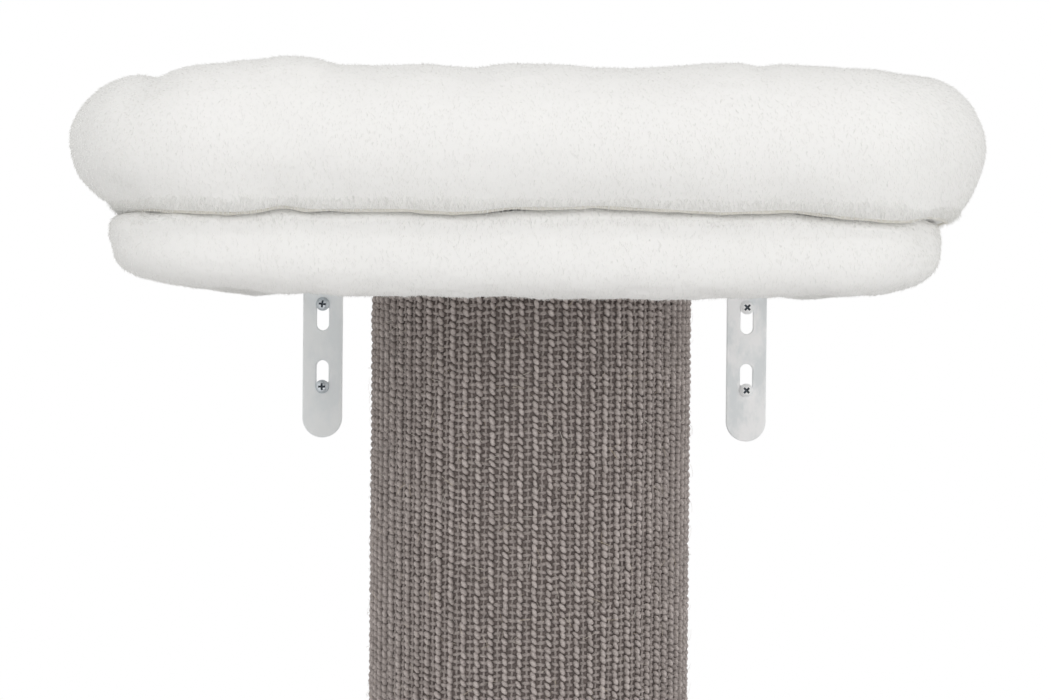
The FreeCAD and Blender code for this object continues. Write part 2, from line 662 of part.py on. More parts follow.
def make_plugs():
    """The two discs glued into the ends of the tube, and the disc that closes the trunk."""
    made = []
    for label, high in (("top_plug", "post_top"), ("bottom_plug", "post_bottom + plug_thickness")):
        low = f"{high} - plug_thickness"
        plug = turned(label, [("0", low), ("plug_radius", low), ("plug_radius", high), ("0", high)])
        made.append(plug)
    edge = "disc_edge"
    disc = turned(
        "bottom_disc",
        [
            ("0", "disc_bottom"),
            (f"post_radius - {edge}", "disc_bottom"),
            ("post_radius", f"disc_bottom + {edge}"),
            ("post_radius", "post_bottom"),
            ("0", "post_bottom"),
        ],
    )
    made.append(disc)
    top_plug, bottom_plug, _ = made
    screws = round_spots("plug_screw_circle", PLUG_SCREW_ANGLES)
    local_screws = [(x, y.replace("-post_axis + ", "")) for x, y in screws]
    low = "post_top - plug_thickness"
    drill(top_plug, "plug_bolt_hole", [("0", "0")], "nut_barrel_radius + slip", "post_top", low)
    screw_end = "board_top - plug_screw_length - slip"
    wide = "plug_screw_radius + slip"
    drill(top_plug, "top_plug_screw_holes", local_screws, wide, "post_top", screw_end)
    disc_end = "disc_bottom + disc_screw_length + slip"
    drill(bottom_plug, "bottom_plug_screw_holes", local_screws, wide, disc_end, "post_bottom")
    arm_spots = [("0", f"post_axis - {spot}") for spot in ARM_HOLES[1:]]
    arm_end = "disc_bottom - bracket_steel + lower_screw_length + slip"
    narrow = "wood_screw_radius + slip"
    drill(bottom_plug, "bottom_plug_arm_holes", arm_spots, narrow, arm_end, "post_bottom")
    drill(disc, "disc_screw_holes", local_screws, wide, "post_bottom", "disc_bottom")
    drill(disc, "disc_arm_holes", arm_spots, narrow, "post_bottom", "disc_bottom")
    bottom = value["disc_bottom"]

    def screw_rim(item):
        """True for the lower rim of a disc screw hole, not of an arm screw's."""
        box = item.BoundBox
        flat = abs(box.ZMin - bottom) < 1e-4 and abs(box.ZMax - bottom) < 1e-4
        return flat and abs(box.XLength - 2 * (value["plug_screw_radius"] + value["slip"])) < 0.01

    dress(disc, "Chamfer", "disc_countersinks", screw_rim, "plug_screw_head - plug_screw_radius")
    for item in made:
        bind(item, "Placement.Base.y", "-post_axis")
    return made


def make_tube():
    """The wound paper tube inside the mat."""
    made = turned(
        "post_tube",
        [
            ("plug_radius", "post_bottom"),
            ("tube_radius", "post_bottom"),
            ("tube_radius", "post_top"),
            ("plug_radius", "post_top"),
        ],
    )
    bind(made, "Placement.Base.y", "-post_axis")
    return made


def make_mat():
    """The sisal mat: a backing with upright ribs all round, its two edges meeting behind the trunk."""
    crest, valley = value["post_radius"], value["post_radius"] - value["rib_height"]
    count = int(value["rib_count"])
    half_joint = value["mat_joint"] / 2 / valley
    start = math.pi / 2 + half_joint
    span = (2 * math.pi - 2 * half_joint) / count

    def spot(radius, angle):
        """A point of the mat's outline at the height of its lower edge."""
        return Vector(radius * math.cos(angle), radius * math.sin(angle), value["post_bottom"])

    outline = []
    for index in range(count):
        foot = start + index * span
        rib = Part.Arc(spot(valley, foot), spot(crest, foot + span / 2), spot(valley, foot + span))
        outline.append(rib.toShape())
    inner, last = value["tube_radius"] + value["slip"], start + count * span
    outline.append(Part.makeLine(spot(valley, last), spot(inner, last)))
    back = Part.Arc(spot(inner, last), spot(inner, start + math.pi - half_joint), spot(inner, start))
    outline.append(back.toShape())
    outline.append(Part.makeLine(spot(inner, start), spot(valley, start)))
    made = document.addObject("Part::Feature", "sisal_mat")
    made.Shape = Part.Face(Part.Wire(outline)).extrude(Vector(0, 0, value["post_length"]))
    made.Placement = at(0, -value["post_axis"], 0)
    if span * valley < 2 * value["rib_height"]:
        raise RuntimeError("the ribs are too tall for their number")
    return made


# ---------------------------------------------------------------- soft pieces


def bent(start, tangent, end):
    """An arc of under a half circle that leaves start along tangent and reaches end."""
    chord = end - start
    inward = chord - tangent * chord.dot(tangent)
    inward.normalize()
    radius = chord.Length**2 / (2 * chord.dot(inward))
    centre = start + inward * radius
    middle = (start - centre) + (end - centre)
    middle.normalize()
    return Part.Arc(start, centre + middle * radius, end).toShape()


def frame_path(half, front, back, corner, z, closed):
    """The plan line of a padded piece: round corners in front, and behind too if closed."""
    slant = corner * (1 - math.sqrt(0.5))
    rear = -back - corner if closed else -back
    edges = []

    def side(x0, y0, x1, y1):
        """A straight side."""
        edges.append(Part.makeLine(Vector(x0, y0, z), Vector(x1, y1, z)))

    def bend(start, middle, end):
        """A round corner through three plan points."""
        edges.append(Part.Arc(*[Vector(x, y, z) for x, y in (start, middle, end)]).toShape())

    side(-half, rear, -half, corner - front)
    bend((-half, corner - front), (slant - half, slant - front), (corner - half, -front))
    side(corner - half, -front, half - corner, -front)
    bend((half - corner, -front), (half - slant, slant - front), (half, corner - front))
    side(half, corner - front, half, rear)
    if closed:
        bend((half, rear), (half - slant, -back - slant), (half - corner, -back))
        side(half - corner, -back, corner - half, -back)
        bend((corner - half, -back), (slant - half, -back - slant), (-half, rear))
    return Part.Wire(edges)


def swept(path, section):
    """A closed section carried along a plan line."""
    shape = path.makePipeShell([section], True, False)
    if not shape.isValid():
        raise RuntimeError("a swept padding is not a valid solid")
    return shape


def soft(label, shape):
    """A soft piece's node."""
    made = document.addObject("Part::Feature", label)
    made.Label = label
    made.Shape = shape
    made.Placement = Placement()
    return made


def make_bolster():
    """The stuffed roll round the bed: a round crown, full sides and a drawn-in foot, flat below."""
    half, start = value["bed_width"] / 2, -value["wall_gap"] - value["bed_corner"]
    width, foot, top = value["bolster_width"], value["bolster_foot_z"], value["bolster_top_z"]
    waist = value["bolster_waist_z"]

    def spot(inset, z):
        """A point of the section where the path starts."""
        return Vector(inset - half, start, z)

    up, down = Vector(0, 0, 1), Vector(0, 0, -1)
    lip = value["bolster_lip"]
    section = [
        bent(spot(0, waist), down, spot(lip, foot)),
        Part.makeLine(spot(lip, foot), spot(width - lip, foot)),
        bent(spot(width, waist), down, spot(width - lip, foot)),
        bent(spot(width, waist), up, spot(width / 2, top)),
        bent(spot(0, waist), up, spot(width / 2, top)),
    ]
    path = frame_path(half, value["bed_front"], value["wall_gap"], value["bed_corner"], waist, True)
    return soft("bolster", swept(path, Part.Wire(Part.sortEdges(section)[0])))


def make_platform_cover():
    """The padded edge and top over the board: drawn in at the top seam, hanging below the board."""
    half, back = value["platform_half"], value["platform_back"]
    low, top = value["board_underside"], value["platform_top"]
    gap = value["soft_gap"]
    wide, under = low + value["rim_wide_rise"], low - value["cover_slip"]
    inner, pad_width = value["hanging_rim"], value["edge_padding"] - gap
    sheet = value["board_top"] + value["foam_thickness"] + value["foam_slip"]

    def spot(inset, z):
        """A point of the section where the path starts."""
        return Vector(inset - half, -back, z)

    bottom = spot(value["rim_low"], low - value["rim_drop"])
    rim_end = spot(inner, low - value["rim_inner_drop"])
    top_seam = spot(value["top_pinch"], top)
    corners = [rim_end, spot(inner, under), spot(pad_width, under), spot(pad_width, sheet)]
    corners += [spot(inner, sheet), spot(inner, top), top_seam]
    section = [Part.makeLine(a, b) for a, b in zip(corners, corners[1:])]
    section.append(bent(spot(0, wide), Vector(0, 0, 1), top_seam))
    section.append(bent(spot(0, wide), Vector(0, 0, -1), bottom))
    section.append(bent(bottom, Vector(1, 0, 0), rim_end))
    path = frame_path(half, value["platform_front"], back, value["platform_corner"], wide, False)
    rim = swept(path, Part.Wire(Part.sortEdges(section)[0]))
    lap = value["cover_lap"]
    reach = half - inner + lap
    depth = value["platform_front"] - inner + lap - back
    lid = Part.makeBox(2 * reach, depth, top - sheet, Vector(-reach, -back - depth, sheet))
    span, wall = half - pad_width + lap, value["back_padding"] - gap
    rear = Part.makeBox(2 * span, wall, top - under, Vector(-span, -back - wall, under))
    return soft("platform_cover", rim.fuse([lid, rear]).removeSplitter())


def make_cushion():
    """The loose floor cushion: crowned, with its sides drawn in to a seam above and below."""
    side = value["bed_width"] / 2 - value["bolster_width"] - value["cushion_gap"]
    front = value["bed_front"] - value["bolster_width"] - value["cushion_gap"]
    back = value["wall_gap"] + value["bolster_width"] + value["cushion_gap"]
    corner = value["nest_corner"] + value["cushion_rounding"]
    height, pinch, low = value["cushion_height"], value["cushion_pinch"], value["cushion_low"]
    widest = value["cushion_widest"]
    arc, crown = corner - value["cushion_ridge"], (front - back) / 2 - corner
    levels = [(0, pinch), (widest / 2, pinch / 4)]
    for angle in (0, 25, 45, 65, 80, 90):
        rise, draw = math.sin(math.radians(angle)), 1 - math.cos(math.radians(angle))
        levels.append((widest + (height - widest) * rise, crown * draw))
    wires = [frame_path(side - inset, front - inset, back + inset, arc, low + rise, True)
             for rise, inset in levels]
    return soft("nest_cushion", Part.makeLoft(wires, True, True))


def make_patches():
    """Hook patches on the platform and loop patches under the bed, one pair near each corner."""
    length, width, thick = value["patch_length"], value["patch_width"], value["patch_thickness"]
    x = value["base_half"] - length
    rows = (value["base_front"] - length, value["base_back"] + length)
    levels = (("hook_patches", value["platform_top"]), ("loop_patches", value["base_low"] - thick))
    made = []
    for label, z in levels:
        corners = [(side, y) for side in (-x, x) for y in rows]
        starts = [Vector(side - length / 2, -y - width / 2, z) for side, y in corners]
        boxes = [Part.makeBox(length, width, thick, start) for start in starts]
        made.append(group(label, boxes))
    return made


def make_parts():
    """Every node, in the order in which the piece is put together."""
    made = [make_board(), make_underside()]
    board_plan = ("board_half", "board_front", "board_back", "board_corner")
    made.append(slab("platform_foam", *board_plan, "board_top", "foam_thickness"))
    made.append(make_platform_cover())
    made.append(make_cover_staples())
    made.append(bracket("left_bracket", "-bracket_spacing / 2", "0"))
    made.append(bracket("right_bracket", "bracket_spacing / 2", "0"))
    made.append(bracket("lower_bracket", "0", "lower_drop"))
    made += make_wood_screws()
    made += make_wall_screws()
    made += make_bolt()
    made += make_plugs()
    made += [make_tube(), make_mat(), make_mat_staples(), make_plug_staples()]
    base_plan = ("base_half", "base_front", "base_back", "bed_corner - base_inset")
    made.append(slab("bed_base", *base_plan, "base_low", "base_thickness"))
    made += [make_bolster(), make_cushion()]
    made += make_patches()
    return made


def check_and_write(nodes):
    """Stops at the first failed object or bad shape, then writes one file for each node."""
    document.recompute()
    for item in document.Objects:
        if "Invalid" in item.State or "Error" in item.State:
            raise RuntimeError(f"{item.Label} failed: {item.State}")
    for node in nodes:
        if node.Shape.isNull() or not node.Shape.isValid():
            raise RuntimeError(f"{node.Label} has no valid shape")
    os.makedirs("parts", exist_ok=True)
    for node in nodes:
        node.Shape.exportStep(f"parts/{node.Label}.step")
        solids, volume, box = len(node.Shape.Solids), node.Shape.Volume / 1000, node.Shape.BoundBox
        print(f"{node.Label:22s} solids {solids:3d}  volume {volume:9.2f} cm3"
              f"  x {box.XMin:.1f}..{box.XMax:.1f}  y {box.YMin:.1f}..{box.YMax:.1f}"
              f"  z {box.ZMin:.1f}..{box.ZMax:.1f}")


check_and_write(make_parts())
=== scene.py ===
"""Wall mounted cat tree: a plush bed on a padded board, two steel brackets and a sisal trunk."""
import math
import random

import bmesh
import bpy
import numpy as np
from mathutils import Matrix, Vector, noise


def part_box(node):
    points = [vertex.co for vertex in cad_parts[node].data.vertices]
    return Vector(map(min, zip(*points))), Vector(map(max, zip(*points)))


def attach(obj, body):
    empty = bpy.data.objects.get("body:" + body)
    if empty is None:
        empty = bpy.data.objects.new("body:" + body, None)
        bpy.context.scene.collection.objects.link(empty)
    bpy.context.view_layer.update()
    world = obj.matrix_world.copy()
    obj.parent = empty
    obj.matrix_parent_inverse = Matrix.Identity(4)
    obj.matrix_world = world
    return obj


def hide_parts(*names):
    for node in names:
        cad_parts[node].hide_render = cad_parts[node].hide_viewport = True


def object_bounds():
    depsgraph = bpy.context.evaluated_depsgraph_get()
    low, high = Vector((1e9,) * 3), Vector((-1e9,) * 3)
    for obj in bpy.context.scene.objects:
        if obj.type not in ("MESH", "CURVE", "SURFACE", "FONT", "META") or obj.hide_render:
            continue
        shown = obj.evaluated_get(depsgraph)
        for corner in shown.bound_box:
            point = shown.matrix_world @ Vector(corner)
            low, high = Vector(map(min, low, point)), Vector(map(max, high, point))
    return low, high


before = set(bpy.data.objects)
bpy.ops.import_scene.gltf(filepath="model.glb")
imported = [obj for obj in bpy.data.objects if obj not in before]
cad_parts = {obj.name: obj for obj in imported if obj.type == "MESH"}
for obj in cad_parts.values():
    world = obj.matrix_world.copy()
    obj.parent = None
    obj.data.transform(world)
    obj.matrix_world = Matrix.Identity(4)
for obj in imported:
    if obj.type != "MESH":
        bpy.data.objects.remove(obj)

bl_info = {
    "name": "Wall mounted cat tree",
    "version": (1, 0, 0),
    "blender": (4, 5, 0),
    "location": "View3D > Sidebar > Cat tree",
    "description": "Plush bed, padded platform, steel brackets and sisal trunk around a fixed frame",
    "category": "Object",
}

# Metres, +Z up, +Y into the wall. The origin is on the wall, between the four upper screws.

cad_low, cad_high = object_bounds()
POST_AXIS = Vector((0.0, -0.2, 0.0))
PILE_DEPTH = 0.0008  # how far the cloth stands inside the tips of its pile
ROLL_HALF = 0.042  # half the width of the bolster's roll
FOOT_HALF = 0.020  # half the width of its foot
ROLL_CORNER = 0.058  # corner of the roll's middle line, seen from above
PLATFORM_CORNER = 0.07  # front corner of the platform, seen from above
TOP_INSET = 0.0165  # from the platform's widest line in to its seam on top
ROLL_STEP = 0.0055  # from station to station round a padded roll
SHEET_STEP = 0.012  # from point to point round a sheet
MAT_JOINT = 0.0014  # open joint of the mat behind the trunk


# ---------------------------------------------------------------- meshes


def new_piece(name, points, faces, smooth=True):
    """An object at the origin from points and faces."""
    mesh = bpy.data.meshes.new(name)
    mesh.from_pydata([tuple(point) for point in points], [], [tuple(face) for face in faces])
    mesh.update()
    if smooth:
        mesh.shade_smooth()
    else:
        mesh.shade_flat()
    made = bpy.data.objects.new(name, mesh)
    bpy.context.scene.collection.objects.link(made)
    return made


def settle(piece):
    """Replaces a piece's mesh by what its modifiers make of it, and removes them."""
    graph = bpy.context.evaluated_depsgraph_get()
    graph.update()
    mesh = bpy.data.meshes.new_from_object(piece.evaluated_get(graph), depsgraph=graph)
    piece.modifiers.clear()
    piece.data = mesh
    mesh.name = piece.name
    return piece


def smoother(piece):
    """One round of subdivision, kept in the mesh."""
    added = piece.modifiers.new("finer", "SUBSURF")
    added.levels = 1
    added.render_levels = 1
    added.boundary_smooth = "PRESERVE_CORNERS"
    return settle(piece)


def coords_of(piece):
    """The piece's points as an array."""
    flat = np.zeros(len(piece.data.vertices) * 3, np.float32)
    piece.data.vertices.foreach_get("co", flat)
    return flat.reshape(-1, 3)


def move_points(piece, points):
    """Puts the piece's points at new places."""
    piece.data.vertices.foreach_set("co", points.astype(np.float32).ravel())
    piece.data.update()


def normals_of(piece):
    """The direction out of the surface at each point."""
    flat = np.zeros(len(piece.data.vertices) * 3, np.float32)
    piece.data.vertex_normals.foreach_get("vector", flat)
    return flat.reshape(-1, 3)


def rough(points, size, seed, detail=1):
    """Smooth noise from -1 to 1 at each point, its lumps about one size apart."""
    shift = Vector((seed * 3.7, seed * 1.3, seed * 2.1))
    found = [noise.fractal(Vector(point) / size + shift, 1.0, 2.0, detail) for point in points]
    return np.array(found)


def finish(piece, body, surface, slot, *nodes):
    """Gives a finished piece its material, its body and the nodes that it stands for, which it hides;
    its slot is not used.
    """
    piece.data.materials.clear()
    piece.data.materials.append(surface)
    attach(piece, body)
    if nodes:
        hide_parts(*nodes)
    return piece


def plan_line(half, front, back, corner, step, closed):
    """Stations (x, y, outward angle) along a rounded plan line: left side, front, right side, back."""
    stations = []

    def straight(start, end, angle):
        """Stations along one side, without its end."""
        count = max(1, round(math.dist(start, end) / step))
        for index in range(count):
            share = index / count
            x = start[0] + (end[0] - start[0]) * share
            y = start[1] + (end[1] - start[1]) * share
            stations.append((x, y, math.radians(angle)))

    def bend(x, y, start):
        """Stations round one corner, without its end."""
        count = max(6, round(corner * math.pi / 2 / step))
        for index in range(count):
            angle = math.radians(start + 90 * index / count)
            stations.append((x + corner * math.cos(angle), y + corner * math.sin(angle), angle))

    rear = -back - (corner if closed else 0)
    straight((-half, rear), (-half, corner - front), 180)
    bend(corner - half, corner - front, 180)
    straight((corner - half, -front), (half - corner, -front), 270)
    bend(half - corner, corner - front, 270)
    straight((half, corner - front), (half, rear), 0)
    if closed:
        bend(half - corner, rear, 0)
        straight((half - corner, -back), (corner - half, -back), 90)
        bend(corner - half, rear, 90)
    else:
        stations.append((half, rear, 0.0))
    return stations


def skin(name, stations, section, closed, loop):
    """A surface over stations and a section of (outward, height) pairs, with a map in metres."""
    count, around = len(stations), len(section)
    points = []
    for x, y, angle in stations:
        for out, z in section:
            points.append((x + out * math.cos(angle), y + out * math.sin(angle), z))
    along = [0.0]
    for index in range(count):
        here, there = stations[index], stations[(index + 1) % count]
        along.append(along[-1] + math.dist(here[:2], there[:2]))
    across = [0.0]
    for index in range(around):
        across.append(across[-1] + math.dist(section[index], section[(index + 1) % around]))
    faces, places = [], []
    for i in range(count if closed else count - 1):
        for j in range(around if loop else around - 1):
            after, beside = (i + 1) % count, (j + 1) % around
            near, far = i * around, after * around
            faces.append((near + j, far + j, far + beside, near + beside))
            places += [(along[i], across[j]), (along[i + 1], across[j])]
            places += [(along[i + 1], across[j + 1]), (along[i], across[j + 1])]
    if loop and not closed:
        faces.append(tuple(range(around)))
        faces.append(tuple((count - 1) * around + j for j in reversed(range(around))))
        places += [section[j] for j in range(around)]
        places += [section[j] for j in reversed(range(around))]
    made = new_piece(name, points, faces)
    layer = made.data.uv_layers.new(name="lengths")
    layer.data.foreach_set("uv", np.array(places, np.float32).ravel())
    turn_outwards(made)
    return made


def turn_outwards(piece):
    """Recalculates the normals of a closed or plain shell."""
    shape = bmesh.new()
    shape.from_mesh(piece.data)
    bmesh.ops.recalc_face_normals(shape, faces=shape.faces)
    shape.to_mesh(piece.data)
    shape.free()
    piece.data.update()


def square_backed(half, front, back, corner, step):
    """A plan outline with round corners in front and square ones at the back."""
    stations = plan_line(half, front, back, corner, step, False)
    count = round(2 * half / step)
    for index in range(1, count):
        stations.append((half - 2 * half * index / count, -back, math.pi / 2))
    return stations


def box_outline(low, high, corner):
    """A plan outline of a node's box with round corners."""
    return plan_line(high.x, -low.y, -high.y, corner, SHEET_STEP, True)


def slab(name, outline, low, high):
    """A flat sheet or board inside a plan outline, built as rings round a middle."""
    shrink = [1.0, 0.985] + [1 - (index + 1) / 12 for index in range(12)]
    depths = [y for _, y, _ in outline]
    middle = Vector((0, (min(depths) + max(depths)) / 2))
    count = len(outline)
    points, faces = [], []
    for z in (low, high):
        for share in shrink[:-1]:
            for x, y, _ in outline:
                points.append((x * share, middle.y + (y - middle.y) * share, z))
        points.append((0, middle.y, z))
    rings = len(shrink) - 1
    layer = rings * count + 1
    for side in range(2):
        first = side * layer
        for ring in range(rings - 1):
            for i in range(count):
                j = (i + 1) % count
                a, b = first + ring * count, first + (ring + 1) * count
                faces.append((a + i, a + j, b + j, b + i))
        last = first + (rings - 1) * count
        for i in range(count):
            faces.append((last + i, last + (i + 1) % count, first + layer - 1))
    for i in range(count):
        j = (i + 1) % count
        faces.append((i, j, layer + j, layer + i))
    made = new_piece(name, points, faces)
    layer_of_lengths(made)
    turn_outwards(made)
    return made


def layer_of_lengths(piece):
    """A map of a flat piece in metres, seen from above."""
    layer = piece.data.uv_layers.new(name="lengths")
    for loop in piece.data.loops:
        place = piece.data.vertices[loop.vertex_index].co
        layer.data[loop.index].uv = (place.x, place.y)


# ---------------------------------------------------------------- node trees


def add(tree, kind, inputs=None, **settings):
    """A node with its settings, and with values or links in its inputs."""
    made = tree.nodes.new(kind)
    for name, setting in settings.items():
        setattr(made, name, setting)
    for name, given in (inputs or {}).items():
        socket = made.inputs[name]
        if isinstance(given, bpy.types.NodeSocket):
            tree.links.new(given, socket)
        else:
            socket.default_value = given
    return made


def math_node(tree, operation, first, second=0.0):
    """One step of arithmetic; gives its result."""
    return add(tree, "ShaderNodeMath", {0: first, 1: second}, operation=operation).outputs[0]


def times(tree, first, second):
    """The product of two values."""
    return math_node(tree, "MULTIPLY", first, second)


def plus(tree, first, *others):
    """The sum of values."""
    for other in others:
        first = math_node(tree, "ADD", first, other)
    return first


def mixture(tree, *parts):
    """The sum of values that are each given with a weight."""
    return plus(tree, *[times(tree, given, weight) for given, weight in parts])


def new_material(name, colour, roughness, **sockets):
    """A material's tree and shader, with plain values in the shader's own sockets."""
    made = bpy.data.materials.new(name)
    made.use_nodes = True
    made.diffuse_color = (*colour, 1)
    shader = made.node_tree.nodes["Principled BSDF"]
    shader.inputs["Base Color"].default_value = (*colour, 1)
    shader.inputs["Roughness"].default_value = roughness
    for socket, setting in sockets.items():
        shader.inputs[socket.replace("_", " ")].default_value = setting
    return made.node_tree, shader


def surface(name):
    """The material of that name."""
    return bpy.data.materials[name]


def tinted(colour, *tints):
    """A colour times one number, or one for each channel, and no brighter than white."""
    tints = tints * 3 if len(tints) == 1 else tints
    return tuple(min(1.0, part * tint) for part, tint in zip(colour, tints))


def blend_colours(tree, share, first, second):
    """A colour between two, by a share."""
    made = add(tree, "ShaderNodeMix", {"Factor": share}, data_type="RGBA")
    for socket, given in ((made.inputs[6], first), (made.inputs[7], second)):
        if isinstance(given, bpy.types.NodeSocket):
            tree.links.new(given, socket)
        else:
            socket.default_value = (*given, 1)
    return made.outputs[2]


def paint(tree, shader, share, first, second):
    """Colours the surface between two colours, by a share."""
    tree.links.new(blend_colours(tree, share, first, second), shader.inputs["Base Color"])


def span(tree, given, low, high, to_low=0.0, to_high=1.0):
    """Carries a value from one range to another."""
    inputs = {"Value": given, "From Min": low, "From Max": high, "To Min": to_low, "To Max": to_high}
    return add(tree, "ShaderNodeMapRange", inputs).outputs["Result"]


def grain(tree, vector, scale, detail=2.0, roughness=0.5):
    """Noise on a vector."""
    inputs = {"Vector": vector, "Scale": scale, "Detail": detail, "Roughness": roughness}
    return add(tree, "ShaderNodeTexNoise", inputs).outputs["Fac"]


def stretched(tree, vector, scale, turn=(0.0, 0.0, 0.0)):
    """A vector scaled differently on each axis, and turned."""
    inputs = {"Vector": vector, "Scale": scale, "Rotation": turn}
    return add(tree, "ShaderNodeMapping", inputs).outputs["Vector"]


def sideways(tree, vector):
    """How far a vector reaches to the sides, whatever its height."""
    flat = add(tree, "ShaderNodeVectorMath", {0: vector, 1: (1.0, 1.0, 0.0)}, operation="MULTIPLY")
    return add(tree, "ShaderNodeVectorMath", {0: flat.outputs[0]}, operation="LENGTH").outputs["Value"]


def raise_surface(tree, shader, height, distance, strength):
    """Bump from a height between 0 and 1."""
    inputs = {"Height": height, "Distance": distance, "Strength": strength}
    bump = add(tree, "ShaderNodeBump", inputs)
    tree.links.new(bump.outputs["Normal"], shader.inputs["Normal"])


def object_place(tree):
    """Places on the object, in metres."""
    return add(tree, "ShaderNodeTexCoord").outputs["Object"]


def lengths(tree):
    """The piece's own map, in metres."""
    return add(tree, "ShaderNodeUVMap", uv_map="lengths").outputs["UV"]


def own_tone(tree):
    """The tone from 0 to 1 that each tuft or loop was grown with."""
    return add(tree, "ShaderNodeAttribute", attribute_name="tone").outputs["Fac"]


# ---------------------------------------------------------------- finishes


def plush_cloth(name, settings, roughness):
    """A material with the plush's colour and sheen."""
    sockets = {"Sheen_Weight": 0.25, "Sheen_Roughness": 0.6, "Specular_IOR_Level": 0.15}
    return new_material(name, settings.colour, roughness, **sockets)


def plush_material(settings):
    """Short combed pile: fine fibres across the roll, soft clumps, soft clouds of tone, and a warmer,
    darker tone where the fibres and clumps dip.
    """
    tree, shader = plush_cloth("plush", settings, 0.95)
    flat = lengths(tree)
    fibres = grain(tree, stretched(tree, flat, (1.0, 0.14, 1.0)), 760.0, 3.0, 0.65)
    clumps = grain(tree, stretched(tree, flat, (1.0, 0.3, 1.0)), 210.0, 3.0, 0.6)
    clouds = grain(tree, object_place(tree), 16.0, 3.0, 0.5)
    height = mixture(tree, (fibres, 0.5), (clumps, 0.5))
    raise_surface(tree, shader, height, 0.0022, 0.6)
    tone = mixture(tree, (height, 0.75), (clouds, 0.35))
    shade = tinted(settings.colour, 0.885, 0.88, 0.855)
    paint(tree, shader, span(tree, tone, 0.4, 0.66), shade, settings.colour)


def pile_material(settings):
    """The tips of the pile: a tone for each tuft, with the soft clouds of the cloth below, and painted
    light that colours the tufts brighter than the cloth against the shade they cast on each other.
    """
    tree, shader = plush_cloth("plush_tips", settings, 0.9)
    clouds = grain(tree, object_place(tree), 16.0, 3.0, 0.5)
    mixed = mixture(tree, (own_tone(tree), 0.6), (clouds, 0.8))
    # painted light: both colours sit above the cloth's range, up to 8% over its colour, to offset the
    # tufts' own shadows
    shade = tinted(settings.colour, 0.97, 0.965, 0.945)
    paint(tree, shader, span(tree, mixed, 0.4, 1.0), shade, tinted(settings.colour, 1.08))


def sisal_material(settings):
    """Sisal yarn: a tone for each loop of the weave, with its strands, and a painted highlight that
    makes the outermost crests paler than the valleys.
    """
    tree, shader = new_material("sisal_yarn", settings.light, 0.85, Specular_IOR_Level=0.25)
    place = object_place(tree)
    fibres = grain(tree, stretched(tree, place, (0.55, 0.55, 1.9)), 1000.0, 4.0, 0.7)
    patches = grain(tree, place, 30.0, 3.0, 0.6)
    inputs = {0: place, 1: tuple(-POST_AXIS)}
    from_axis = add(tree, "ShaderNodeVectorMath", inputs, operation="ADD").outputs[0]
    radius = settings.radius
    # painted highlight: the yarn turns paler the further it stands from the trunk's axis
    crest = span(tree, sideways(tree, from_axis), radius - 0.0012, radius - 0.0001)
    strands = span(tree, fibres, 0.34, 0.66)
    mixed = mixture(tree, (own_tone(tree), 0.16), (strands, 0.42), (patches, 0.25), (crest, 0.34))
    paint(tree, shader, span(tree, mixed, 0.2, 0.95), settings.dark, settings.light)
    raise_surface(tree, shader, fibres, 0.0012, 0.9)


def backing_material(settings):
    """The ground of the mat between the yarns, darker than any yarn: partly its own colour, partly
    painted shade deep between the yarns.
    """
    tree, shader = new_material("sisal_ground", settings.ground, 0.95, Specular_IOR_Level=0.1)
    fibres = grain(tree, object_place(tree), 700.0, 3.0, 0.7)
    darker = tinted(settings.ground, 0.55)
    paint(tree, shader, span(tree, fibres, 0.3, 0.7), darker, settings.ground)
    raise_surface(tree, shader, fibres, 0.0008, 0.8)


def fibre_material():
    """Loose sisal fibres, from pale grey to straw."""
    tree, shader = new_material("loose_fibre", (0.52, 0.45, 0.36), 0.7)
    tone = grain(tree, object_place(tree), 60.0, 1.0)
    paint(tree, shader, span(tree, tone, 0.3, 0.7), (0.68, 0.65, 0.61), (0.6, 0.5, 0.37))


def coat_material(name, settings, reflection_share):
    """Pale powder coat on steel: fine orange peel and clouds, with painted reflections as strong as the
    reflection share: near-white diagonal streaks and brighter, wider clouding.
    """
    sockets = {"Specular_IOR_Level": 0.6, "Coat_Weight": 0.25, "Coat_Roughness": 0.22}
    tree, shader = new_material(name, settings.coat, 0.34, **sockets)
    place = object_place(tree)
    peel = grain(tree, place, 520.0, 2.0, 0.5)
    clouds = grain(tree, stretched(tree, place, (1.0, 1.0, 0.5)), 55.0, 4.0, 0.62)
    turned_place = stretched(tree, place, (1.0, 1.0, 0.4), (0.0, math.radians(35), 0.0))
    marks = grain(tree, turned_place, 420.0, 2.0, 0.5)
    # painted reflection: near-white diagonal streaks where the turned marks and the clouds peak
    spots = times(tree, span(tree, marks, 0.5, 0.66), span(tree, clouds, 0.44, 0.56))
    # painted reflection: the clouding grows brighter and wider with the reflection share
    darker = tinted(settings.coat, 0.97 - 0.09 * reflection_share)
    brighter = tinted(settings.coat, 1.02 + 0.1 * reflection_share)
    clouded = blend_colours(tree, span(tree, clouds, 0.41, 0.58), darker, brighter)
    paint(tree, shader, times(tree, spots, 0.9 * reflection_share), clouded, (1.0, 1.0, 1.0))
    tree.links.new(span(tree, clouds, 0.35, 0.7, 0.42, 0.3), shader.inputs["Roughness"])
    raise_surface(tree, shader, plus(tree, peel, clouds), 0.00025, 0.5)


def zinc_material(settings):
    """Zinc plating: grey, a little cloudy, with fine turning marks."""
    tree, shader = new_material("zinc_plate", settings.zinc, 0.42, Metallic=1.0)
    place = object_place(tree)
    clouds = grain(tree, place, 260.0, 3.0, 0.6)
    darker = tinted(settings.zinc, 0.72)
    paint(tree, shader, span(tree, clouds, 0.35, 0.65), darker, settings.zinc)
    tree.links.new(span(tree, clouds, 0.3, 0.7, 0.38, 0.52), shader.inputs["Roughness"])
    raise_surface(tree, shader, grain(tree, place, 2400.0, 1.0), 0.00006, 0.5)


